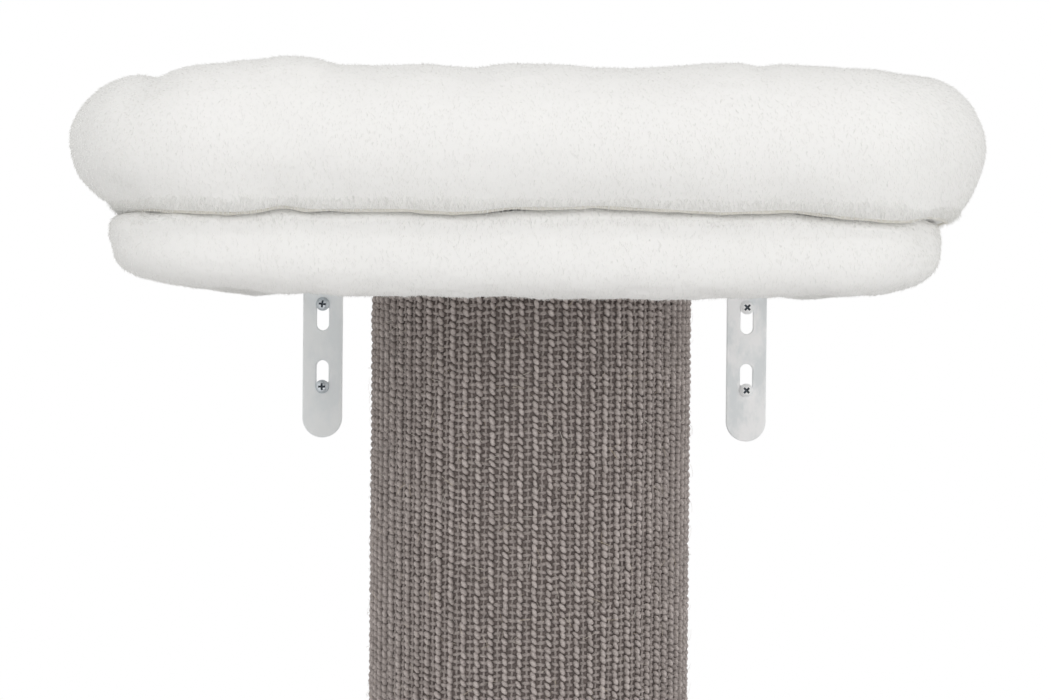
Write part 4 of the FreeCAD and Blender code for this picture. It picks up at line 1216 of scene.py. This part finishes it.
def platform_form(settings):
    """The padded edge of the platform, from its seam on top round to its hem under the board."""
    low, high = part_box("platform_cover")
    widest = 0.055
    seam = (-0.008, high.z + 0.0005)
    bottom = (-0.030, low.z)
    inner = (-0.056, 0.040)
    section = [(inner[0] + 0.002, 0.0445), inner]
    section += curve_between(inner, bottom, (-0.046, low.z + 0.001), 8)
    section += curve_between(bottom, (0.0, widest), (-0.002, low.z + 0.0005), 14)
    section += curve_between((0.0, widest), seam, (0.002, high.z + 0.0012), 12)
    section += [(-0.0155, high.z), (-0.017, high.z - 0.004), (-0.017, high.z - 0.008)]
    section += [(-0.019, 0.060), (-0.019, 0.0465), (-0.04, 0.0455)]
    stations = plan_line(high.x, -low.y, -high.y, PLATFORM_CORNER, ROLL_STEP, False)
    made = skin("platform_plush", stations, section, False, True)
    points, out = coords_of(made), normals_of(made)
    x, y, z = points.T
    inside = (z > 0.0435) & (np.abs(x) < high.x - 0.016) & (y > low.y + 0.016)
    rim = np.where(inside, 0.0, 1.0)
    calm = 1 - 0.7 * np.maximum(ease((np.abs(x) - 0.205) / 0.02), ease((0.036 - z) / 0.006))
    swell = (rough(points, 0.09, 31) * 0.8 + rough(points, 0.03, 37) * 0.3) * settings.lump * calm
    near_seam = np.exp(-(((z - high.z) / 0.009) ** 2))
    gathers = rough(points * np.array((1, 1, 0.25)), 0.018, 34) * settings.pucker * near_seam
    hem = np.exp(-(((z - low.z) / 0.006) ** 2))
    scallops = rough(points * np.array((1, 1, 0.25)), 0.024, 39) * 0.0013 * hem
    shifts = (swell + gathers + scallops) * rim
    move_points(made, settle_rim(points + out * shifts[:, None], low, high, widest))
    smoother(made)

    def share_of_nap(places):
        """Full below the line where the bed rests and none on it, with more along the hem."""
        level = places[:, 2]
        along_hem = np.exp(-(((level - low.z - 0.001) / 0.005) ** 2))
        return 1 - ease((level - high.z + 0.007) / 0.005) + along_hem

    nap(made, settings.nap, 41, share_of_nap)
    return made


def curve_between(start, end, pull, count):
    """Points after the start of a smooth curve, drawn towards a third point."""
    found = []
    for index in range(1, count + 1):
        t = index / count
        weights = ((1 - t) ** 2, 2 * t * (1 - t), t**2)
        spots = (start, pull, end)
        found.append(tuple(sum(w * spot[axis] for w, spot in zip(weights, spots)) for axis in (0, 1)))
    return found


class MakePlatform(bpy.types.Operator):
    """Make the platform's plush edge and top, its foam and the sheet under the board"""

    bl_idname = "cat_tree.platform"
    bl_label = "Platform"

    def execute(self, context):
        """Builds the four soft pieces of the platform."""
        settings = context.scene.cat_tree_plush
        edge = platform_form(settings)
        finish(edge, "frame", surface("plush"), "plush", "platform_cover")
        low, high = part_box("platform_cover")
        tufts, pile = settings.tufts, settings.pile
        outer, fore = high.x - 0.034, low.y + 0.034

        def on_rim(place, out):
            """Whether a face is on the plush edge or under it, off the seam on top."""
            outside = abs(place.x) > outer or place.y < fore
            return out.z > -0.9 and outside and place.z < 0.08 or place.z < 0.042

        def on_shoulder(place, out):
            """Whether a face is on the front shoulder, close under the bed."""
            return place.z > 0.067 and place.y < -0.37 and out.y < -0.05

        def on_top(place, out):
            """Whether a face looks up."""
            return out.z > 0.5

        grow_pile("platform_pile", edge, "frame", tufts, pile, 4, on_rim)
        half, front, back = high.x - TOP_INSET, -low.y - TOP_INSET, -high.y
        corner = PLATFORM_CORNER - TOP_INSET
        outline = square_backed(half, front, back, corner, SHEET_STEP)
        top = slab("platform_top_plush", outline, high.z - 0.0012, high.z - 0.0002)
        finish(top, "frame", surface("plush"), "plush")
        leans = (-10, 60)
        grow_pile("platform_shoulder_pile", edge, "frame", tufts * 2, pile * 1.3, 7, on_shoulder, leans)
        grow_pile("platform_top_pile", top, "frame", tufts * 0.4, pile, 5, on_top)
        low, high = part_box("platform_foam")
        foam = slab("platform_foam_pad", box_outline(low, high, 0.05), low.z, high.z)
        finish(foam, "frame", surface("foam"), "foam", "platform_foam")
        low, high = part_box("underside_cover")
        outline = box_outline(low, high, 0.0137)
        under = slab("underside_plush", outline, low.z + 0.0002, high.z - 0.0001)
        finish(under, "frame", surface("plush"), "plush", "underside_cover")
        return {"FINISHED"}


# ---------------------------------------------------------------- the trunk


def tube_mesh(name, radii, levels, joint, segments):
    """A tube wall between two radii, open along a joint behind the trunk."""
    inner, outer = radii
    half = joint / 2 / outer
    points, faces = [], []
    for z in levels:
        for index in range(segments + 1):
            angle = math.pi / 2 + half + (2 * math.pi - 2 * half) * index / segments
            for radius in (inner, outer):
                points.append((radius * math.cos(angle), POST_AXIS.y + radius * math.sin(angle), z))
    row = 2 * (segments + 1)
    for level in range(len(levels) - 1):
        a, b = level * row, (level + 1) * row
        for index in range(segments):
            i, o = 2 * index, 2 * index + 1
            faces.append((a + i, b + i, b + i + 2, a + i + 2))
            faces.append((a + o, a + o + 2, b + o + 2, b + o))
        faces.append((a, a + 1, b + 1, b))
        faces.append((a + row - 2, b + row - 2, b + row - 1, a + row - 1))
    top = (len(levels) - 1) * row
    for first in (0, top):
        for index in range(segments):
            i = first + 2 * index
            faces.append((i, i + 2, i + 3, i + 1))
    made = new_piece(name, points, faces)
    turn_outwards(made)
    return made


class MakeTrunk(bpy.types.Operator):
    """Make the woven sisal round the trunk, with its loose fibres"""

    bl_idname = "cat_tree.trunk"
    bl_label = "Sisal trunk"

    def execute(self, context):
        """Weaves the mat in bands, over its backing."""
        settings = context.scene.cat_tree_sisal
        low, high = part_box("sisal_mat")
        radius = high.x
        levels = [low.z + (high.z - low.z) * index / 20 for index in range(21)]
        radii = (radius - 0.0053, radius - 0.0031)
        backing = tube_mesh("sisal_backing", radii, levels, MAT_JOINT, 148)
        finish(backing, "frame", surface("sisal_ground"), "sisal", "sisal_mat")
        rows = int((high.z - low.z) / settings.pitch)
        bands = 5
        tree = weave_tree()
        first = 0
        for band in range(bands):
            last = rows * (band + 1) // bands
            values = {
                "Radius": radius,
                "Columns": settings.ribs,
                "Rows": last - first,
                "Pitch": settings.pitch,
                "Low": low.z + first * settings.pitch,
                "Surface": surface("sisal_yarn"),
            }
            woven = grown(f"sisal_weave_{band + 1}", tree, values)
            finish(woven, "frame", surface("sisal_yarn"), "sisal")
            first = last
        inputs = {
            "Density": 3400.0,
            "Length": 0.0065,
            "Thickness": 0.00012,
            "Stand": 0.35,
            "Seed": 4,
            "Surface": surface("loose_fibre"),
        }
        radii = (radius - 0.001, radius + 0.0001)
        cover = tube_mesh("fibre_base", radii, levels, MAT_JOINT, 74)
        fibres = grown("sisal_loose_fibres", hair_tree(), inputs, cover)
        bpy.data.objects.remove(cover)
        finish(fibres, "frame", surface("loose_fibre"), "sisal")
        return {"FINISHED"}


# ---------------------------------------------------------------- screws


def spun(name, profile, segments):
    """A closed solid of revolution about Z from (radius, height) pairs, axis points first and last."""
    points, faces = [(0, 0, profile[0][1])], []
    for radius, z in profile[1:-1]:
        for index in range(segments):
            angle = 2 * math.pi * index / segments
            points.append((radius * math.cos(angle), radius * math.sin(angle), z))
    points.append((0, 0, profile[-1][1]))
    rings = len(profile) - 2
    for index in range(segments):
        after = (index + 1) % segments
        faces.append((0, 1 + after, 1 + index))
        for ring in range(rings - 1):
            a, b = 1 + ring * segments, 1 + (ring + 1) * segments
            faces.append((a + index, a + after, b + after, b + index))
        last = 1 + (rings - 1) * segments
        faces.append((last + index, last + after, len(points) - 1))
    made = new_piece(name, points, faces)
    turn_outwards(made)
    return made


def cross_cutter(reach, width, top, depth):
    """A cross-shaped wedge that sinks the recess into a screw head."""
    corners = []
    for turn in range(4):
        c, s = math.cos(turn * math.pi / 2), math.sin(turn * math.pi / 2)
        for x, y in ((reach, -width), (reach, width), (width, width)):
            corners.append((x * c - y * s, x * s + y * c))
    points = []
    for z, scale in ((top + 0.001, 1.0), (top - depth * 0.3, 0.94), (top - depth, 0.36)):
        points += [(x * scale, y * scale, z) for x, y in corners]
    count = len(corners)
    faces = [tuple(range(count)), tuple(range(2 * count, 3 * count))]
    for level in (0, count):
        for side in range(count):
            a, b = level + side, level + (side + 1) % count
            faces.append((a, b, b + count, a + count))
    made = new_piece("cross_cutter", points, faces, smooth=False)
    turn_outwards(made)
    return made


def screw_tree():
    """Screws on points: a turned body with a cross recess, and a thread wound round its shank."""
    inputs = {
        "Body": "Object",
        "Thread radius": 0.002,
        "Thread length": 0.03,
        "Thread turns": 15.0,
        "Thread top": -0.01,
    }
    tree, given = new_tree("screws", inputs)
    body = add(tree, "GeometryNodeObjectInfo", {"Object": given["Body"]}).outputs["Geometry"]
    helix = {
        "Resolution": 12,
        "Rotations": given["Thread turns"],
        "Start Radius": given["Thread radius"],
        "End Radius": given["Thread radius"],
        "Height": given["Thread length"],
    }
    winding = add(tree, "GeometryNodeCurveSpiral", helix).outputs[0]
    bottom = math_node(tree, "SUBTRACT", given["Thread top"], given["Thread length"])
    inputs = {"Geometry": winding, "Translation": triple(tree, 0.0, 0.0, bottom)}
    placed = add(tree, "GeometryNodeTransform", inputs).outputs[0]
    thread = wire(tree, placed, times(tree, given["Thread radius"], 0.2))
    facing = add(tree, "GeometryNodeInputNamedAttribute", {"Name": "facing"}, data_type="FLOAT_VECTOR")
    spin = add(tree, "FunctionNodeEulerToRotation", {0: facing.outputs[0]}).outputs[0]
    made = set_on(tree, given["Geometry"], joined(tree, thread, body), spin)
    real = add(tree, "GeometryNodeRealizeInstances", {"Geometry": made}).outputs[0]
    add(tree, "NodeGroupOutput", {"Geometry": real})
    return tree


def screw_body(name, head, dome, shank, length, recess, coat):
    """One screw with its head's rim at z = 0: a pan above it, or a countersink below where dome is 0."""
    if dome:
        shares = [(0, 1), (0.62, 0.97), (0.68, 0.9), (0.71, 0.78)]
        shares += [(0.9, 0.6), (0.98, 0.34), (1, 0.1), (1, 0)]
        profile = [(head * out, dome * up) for out, up in shares]
        profile.append((shank, 0.0))
    else:
        profile = [(0, -0.0001), (head * 0.8, -0.0001), (head, -0.0003), (shank, shank - head)]
    profile += [(shank, -length + 2 * shank), (0.0003, -length), (0, -length)]
    body = spun(name, profile, 40)
    cutter = cross_cutter(recess, recess * 0.29, dome, recess * 0.75)
    # the recess's sides carry painted shade
    cutter.data.materials.append(surface("screw_recess"))
    body.data.materials.append(surface(coat))
    cut = body.modifiers.new("recess", "BOOLEAN")
    cut.object = cutter
    cut.solver = "EXACT"
    cut.material_mode = "TRANSFER"
    settle(body)
    bpy.data.objects.remove(cutter)
    return body


def screw_spots(spots):
    """A mesh of points that carry the way each screw faces."""
    mesh = bpy.data.meshes.new("screw_spots")
    mesh.from_pydata([spot for spot, _ in spots], [], [])
    facing = mesh.attributes.new("facing", "FLOAT_VECTOR", "POINT")
    facing.data.foreach_set("vector", np.array([turn for _, turn in spots], np.float32).ravel())
    return bpy.data.objects.new("screw_spots", mesh)


def solid_corners(node):
    """The lowest and highest corners of each separate solid in a node."""
    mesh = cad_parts[node].data
    shape = bmesh.new()
    shape.from_mesh(mesh)
    bmesh.ops.remove_doubles(shape, verts=shape.verts, dist=1e-6)
    todo, found = set(shape.verts), []
    while todo:
        group, edge = set(), [todo.pop()]
        while edge:
            vertex = edge.pop()
            group.add(vertex)
            for link in vertex.link_edges:
                other = link.other_vert(vertex)
                if other in todo:
                    todo.remove(other)
                    edge.append(other)
        places = np.array([v.co for v in group])
        found.append((places.min(0), places.max(0)))
    shape.free()
    return sorted(found, key=lambda pair: tuple(np.round(pair[0], 4)))


class MakeScrews(bpy.types.Operator):
    """Make the wall screws and the countersunk screws with their cross recesses and threads"""

    bl_idname = "cat_tree.screws"
    bl_label = "Screws"

    def execute(self, context):
        """Builds one screw of each kind and sets it at every place of its node."""
        tree = screw_tree()
        # A body's name, head radius, dome, shank radius, length, recess and coat.
        wall = screw_body("wall_screw_body", 0.0051, 0.0028, 0.0019, 0.05, 0.0028, "zinc_plate")
        # painted glare: the right pair of wall screws get near-white heads instead of zinc
        white = screw_body("white_screw_body", 0.0051, 0.0028, 0.0019, 0.05, 0.0028, "white_lacquer")
        short = screw_body("arm_screw_body", 0.0042, 0.0, 0.0017, 0.015, 0.0021, "zinc_plate")
        longer = screw_body("low_screw_body", 0.0042, 0.0, 0.0017, 0.024, 0.0021, "zinc_plate")
        disc = screw_body("disc_screw_body", 0.005, 0.0, 0.0019, 0.028, 0.0024, "zinc_plate")
        kinds = [  # node, ending, body, thread radius, length and turns, and which of the node's screws
            ("wall_screws", "", wall, 0.0021, 0.042, 24.0, lambda x: x < 0),
            # the right pair, with the painted glare heads
            ("wall_screws", "_white", white, 0.0021, 0.042, 24.0, lambda x: x > 0),
            ("lower_wall_screws", "", wall, 0.0021, 0.042, 24.0, None),
            ("bracket_screws", "", short, 0.00185, 0.009, 7.0, None),
            ("lower_bracket_screws", "", longer, 0.00185, 0.017, 13.0, None),
            ("disc_screws", "", disc, 0.0021, 0.02, 12.0, None),
        ]
        turns = random.Random(12)
        for node, ending, body, radius, length, count, wanted in kinds:
            spots = []
            for low, high in solid_corners(node):
                middle = (low + high) / 2
                if wanted and not wanted(middle[0]):
                    continue
                if "wall" in node:
                    turn = 45 if middle[0] > 0.1 else turns.uniform(-25, 25)
                    facing = (math.radians(90), math.radians(turn), 0)
                    spots.append(((middle[0], -0.004, middle[2]), facing))
                else:
                    facing = (math.pi, 0, turns.uniform(0, 6.28))
                    spots.append(((middle[0], middle[1], low[2]), facing))
            base = screw_spots(spots)
            values = {
                "Body": body,
                "Thread radius": radius,
                "Thread length": length,
                "Thread turns": count,
                "Thread top": -0.0045,
            }
            made = grown(node + "_threaded" + ending, tree, values, base)
            bpy.data.objects.remove(base)
            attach(made, "frame")
            if not ending:
                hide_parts(node)
        for body in (wall, white, short, longer, disc):
            bpy.data.objects.remove(body)
        return {"FINISHED"}


# ---------------------------------------------------------------- hook and loop patches


def tape_tree():
    """Rows of small hooks or loops on a patch of tape."""
    inputs = {
        "Height": 0.0008,
        "Sweep": math.radians(250),
        "Tilt": 0.0,
        "Surface": "Material",
    }
    tree, given = new_tree("tape_hooks", inputs)
    radius = times(tree, given["Height"], 0.5)
    inputs = {"Radius": radius, "Sweep Angle": given["Sweep"], "Resolution": 7}
    hook = wire(tree, add(tree, "GeometryNodeCurveArc", inputs).outputs[0], 0.00009)
    inputs = {"Geometry": hook, "Rotation": (math.pi / 2, 0.0, 0.0)}
    upright = add(tree, "GeometryNodeTransform", inputs).outputs[0]
    spin = turned(tree, given["Tilt"], 0.0, chance(tree, -0.6, 0.6, 8))
    close_tree(tree, set_on(tree, given["Geometry"], upright, spin), given["Surface"])
    return tree


BOX_SIDES = [(0, 3, 2, 1), (4, 5, 6, 7), (0, 1, 5, 4), (1, 2, 6, 5), (2, 3, 7, 6), (3, 0, 4, 7)]


class MakePatches(bpy.types.Operator):
    """Make the hook patches on the platform and the loop patches under the bed"""

    bl_idname = "cat_tree.patches"
    bl_label = "Hook and loop patches"

    def execute(self, context):
        """Sets hooks or loops on each patch, with the tape below them."""
        tree = tape_tree()
        kinds = [("hook_patches", "frame", 1, 250, 0.0022), ("loop_patches", "bed", -1, 330, 0.0018)]
        for node, body, side, sweep, pitch in kinds:
            points, faces, spots = [], [], []
            for low, high in solid_corners(node):
                tape = (low[2], low[2] + 0.0004) if side > 0 else (high[2] - 0.0004, high[2])
                first = len(points)
                for z in tape:
                    points += [(low[0], low[1], z), (high[0], low[1], z)]
                    points += [(high[0], high[1], z), (low[0], high[1], z)]
                faces += [tuple(first + corner for corner in face) for face in BOX_SIDES]
                across = int((high[0] - low[0] - pitch) / pitch)
                along = int((high[1] - low[1] - pitch) / pitch)
                level = tape[1] + 0.00025 if side > 0 else tape[0] - 0.00025
                for i in range(across):
                    for j in range(along):
                        x = low[0] + pitch * (i + 1)
                        y = low[1] + pitch * (j + 1)
                        spots.append((x, y, level))
            tape_piece = new_piece(node + "_tape", points, faces, smooth=False)
            finish(tape_piece, body, surface("hook_tape"), "hook_tape", node)
            base = bpy.data.objects.new("spots", bpy.data.meshes.new("spots"))
            base.data.from_pydata(spots, [], [])
            values = {
                "Height": 0.0006,
                "Sweep": math.radians(sweep),
                "Tilt": 0.0 if side > 0 else math.pi,
                "Surface": surface("hook_tape"),
            }
            made = grown(node + "_pile", tree, values, base)
            bpy.data.objects.remove(base)
            finish(made, body, surface("hook_tape"), "hook_tape")
        return {"FINISHED"}


# ---------------------------------------------------------------- hard pieces


def coat_node(node, made):
    """Puts a material on every slot of a node's mesh."""
    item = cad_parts[node]
    if not item.material_slots:
        item.data.materials.append(made)
    for spot in item.material_slots:
        spot.material = made


class CoatHardware(bpy.types.Operator):
    """Give the brackets, board, disc, tube and fasteners their finishes"""

    bl_idname = "cat_tree.hardware"
    bl_label = "Brackets, board and tube"

    def execute(self, context):
        """Assigns the finish of each rigid node."""
        finishes = {
            "powder_coat": ["left_bracket", "lower_bracket"],
            # the right bracket carries the strongest painted reflections
            "rubbed_coat": ["right_bracket"],
            "plywood": ["platform_board"],
            "fibreboard": ["top_plug", "bottom_plug"],
            "disc_paint": ["bottom_disc"],
            "paper_tube": ["post_tube"],
            "zinc_plate": ["trunk_bolt", "bolt_washer", "tee_nut", "plug_screws"],
            "staple_wire": ["cover_staples", "mat_staples", "plug_staples"],
        }
        for name, nodes in finishes.items():
            for node in nodes:
                coat_node(node, surface(name))
        return {"FINISHED"}


GRAINED = [  # name, light, dark, scale of the grain, roughness, depth of the grain
    ("fibreboard", (0.42, 0.30, 0.18), (0.30, 0.2, 0.11), 900.0, 0.8, 0.0003),
    ("disc_paint", (0.72, 0.72, 0.7), (0.64, 0.64, 0.62), 500.0, 0.45, 0.00012),
    ("paper_tube", (0.4, 0.29, 0.19), (0.31, 0.22, 0.14), 300.0, 0.85, 0.0002),
    ("foam", (0.78, 0.75, 0.66), (0.62, 0.59, 0.5), 700.0, 0.95, 0.0006),
    ("hook_tape", (0.8, 0.8, 0.78), (0.62, 0.62, 0.6), 900.0, 0.6, 0.0001),
    # beige: partly the binding's own colour, partly painted warm shade along the line between the rolls
    ("seam_binding", (0.8, 0.78, 0.72), (0.68, 0.655, 0.58), 500.0, 0.9, 0.0003),
    ("staple_wire", (0.56, 0.56, 0.57), (0.42, 0.42, 0.43), 800.0, 0.35, 0.0001),
]


class MakeFinishes(bpy.types.Operator):
    """Make every material of the object"""

    bl_idname = "cat_tree.finishes"
    bl_label = "Finishes"

    def execute(self, context):
        """Builds the node materials from the settings."""
        scene = context.scene
        plush_material(scene.cat_tree_plush)
        pile_material(scene.cat_tree_plush)
        sisal_material(scene.cat_tree_sisal)
        backing_material(scene.cat_tree_sisal)
        fibre_material()
        # painted reflections: faint on the powder coat, full on the right bracket's copy
        coat_material("powder_coat", scene.cat_tree_metal, 0.15)
        coat_material("rubbed_coat", scene.cat_tree_metal, 1.0)
        zinc_material(scene.cat_tree_metal)
        painted_glare_material()
        recess_shade_material()
        wood_material("plywood", (0.58, 0.45, 0.29), (0.44, 0.31, 0.18), 60.0)
        for row in GRAINED:
            speckled_material(*row)
        woven_material("woven_cloth", (0.6, 0.59, 0.56), (0.42, 0.41, 0.38), 0.0011)
        return {"FINISHED"}


# ---------------------------------------------------------------- stage


def lamp(name, place, target, size, power):
    """A large soft lamp that looks at a point."""
    data = bpy.data.lights.new(name, "AREA")
    data.shape = "DISK"
    data.size = size
    data.energy = power
    made = bpy.data.objects.new(name, data)
    made.location = place
    made.rotation_euler = (Vector(target) - Vector(place)).to_track_quat("-Z", "Y").to_euler()
    bpy.context.scene.collection.objects.link(made)


def seen_share(tree):
    """1 for rays that see the background: from the camera, off gloss or through glass."""
    rays = add(tree, "ShaderNodeLightPath").outputs
    some = math_node(tree, "MAXIMUM", rays["Is Camera Ray"], rays["Is Glossy Ray"])
    return math_node(tree, "MAXIMUM", some, rays["Is Transmission Ray"])


def set_sky(strength):
    """Even pale light from all round, seen as white."""
    world = bpy.data.worlds.new("studio")
    world.use_nodes = True
    tree = world.node_tree
    back = tree.nodes["Background"]
    back.inputs["Color"].default_value = (1, 1, 1, 1)
    tree.links.new(span(tree, seen_share(tree), 0.0, 1.0, strength, 1.0), back.inputs["Strength"])
    bpy.context.scene.world = world


def set_floor(level):
    """A wide pale floor that keeps the shadow near the object and is white further out."""
    size = 9.0
    corners = [(-size, -size, level), (size, -size, level), (size, size, level), (-size, size, level)]
    floor = new_piece("floor", corners, [(0, 1, 2, 3)], smooth=False)
    tree, shader = new_material("floor_paint", (0.86, 0.86, 0.86), 0.9, Specular_IOR_Level=0.1)
    away = sideways(tree, object_place(tree))
    white = add(tree, "ShaderNodeEmission", {"Color": (1, 1, 1, 1), "Strength": 1.0})
    share = times(tree, span(tree, away, 0.35, 1.6, 0.45, 1.0), seen_share(tree))
    mixed = add(tree, "ShaderNodeMixShader", {0: share, 1: shader.outputs[0], 2: white.outputs[0]})
    tree.links.new(mixed.outputs[0], tree.nodes["Material Output"].inputs["Surface"])
    floor.data.materials.append(surface("floor_paint"))


class MakeStage(bpy.types.Operator):
    """Set the camera, the lamps, the sky and the floor"""

    bl_idname = "cat_tree.stage"
    bl_label = "Stage"

    def execute(self, context):
        """Builds what surrounds the object."""
        scene = context.scene
        settings = scene.cat_tree_stage
        data = bpy.data.cameras.new("camera")
        data.sensor_fit = "HORIZONTAL"
        data.sensor_width = 36.0
        data.lens = settings.focal
        data.clip_start = 0.05
        data.clip_end = 50.0
        camera = bpy.data.objects.new("camera", data)
        aim = Matrix.Rotation(math.pi / 2 - settings.pitch, 4, "X")
        turn = Matrix.Rotation(settings.yaw, 4, "Z") @ aim
        roll = Matrix.Rotation(settings.roll, 4, "Z")
        camera.matrix_world = Matrix.Translation(settings.eye) @ turn @ roll
        scene.collection.objects.link(camera)
        scene.camera = camera
        middle = (0.0, -0.2, 0.0)
        lamp("key_lamp", (-0.6, -2.0, 1.5), middle, 1.6, settings.key)
        lamp("front_lamp", (0.35, -2.15, -0.9), middle, 1.8, settings.front)
        lamp("fill_lamp", (1.9, -1.1, 0.7), middle, 1.6, settings.fill)
        set_sky(settings.sky)
        set_floor(cad_low.z - 0.004)
        scene.view_settings.view_transform = "Standard"
        return {"FINISHED"}


# ---------------------------------------------------------------- panel and run


class CatTreePanel(bpy.types.Panel):
    """The settings and the steps, in the sidebar"""

    bl_idname = "VIEW3D_PT_cat_tree"
    bl_label = "Wall mounted cat tree"
    bl_space_type = "VIEW_3D"
    bl_region_type = "UI"
    bl_category = "Cat tree"

    def draw(self, context):
        """Lists each group of settings, then a button for each step."""
        layout = self.layout
        for group in GROUPS:
            box = layout.box()
            settings = getattr(context.scene, group)
            for name in settings.__annotations__:
                box.prop(settings, name)
        for step in STEPS:
            layout.operator(step.bl_idname)


GROUPS = {
    "cat_tree_plush": PlushSettings,
    "cat_tree_sisal": SisalSettings,
    "cat_tree_metal": MetalSettings,
    "cat_tree_stage": StageSettings,
}
STEPS = (
    MakeFinishes,
    MakeBolster,
    MakeCushion,
    MakePlatform,
    MakeTrunk,
    MakeScrews,
    MakePatches,
    CoatHardware,
    MakeStage,
)


def register():
    """Registers the settings, the steps and the panel."""
    for item in (*GROUPS.values(), *STEPS, CatTreePanel):
        bpy.utils.register_class(item)
    for name, group in GROUPS.items():
        setattr(bpy.types.Scene, name, bpy.props.PointerProperty(type=group))


def unregister():
    """Removes what register added."""
    for name in GROUPS:
        delattr(bpy.types.Scene, name)
    for item in reversed((*GROUPS.values(), *STEPS, CatTreePanel)):
        bpy.utils.unregister_class(item)


def main():
    """Builds the object step by step."""
    register()
    bpy.ops.cat_tree.finishes()
    bpy.ops.cat_tree.bolster()
    bpy.ops.cat_tree.cushion()
    bpy.ops.cat_tree.platform()
    bpy.ops.cat_tree.trunk()
    bpy.ops.cat_tree.screws()
    bpy.ops.cat_tree.patches()
    bpy.ops.cat_tree.hardware()
    bpy.ops.cat_tree.stage()


if __name__ == "__main__":
    main()
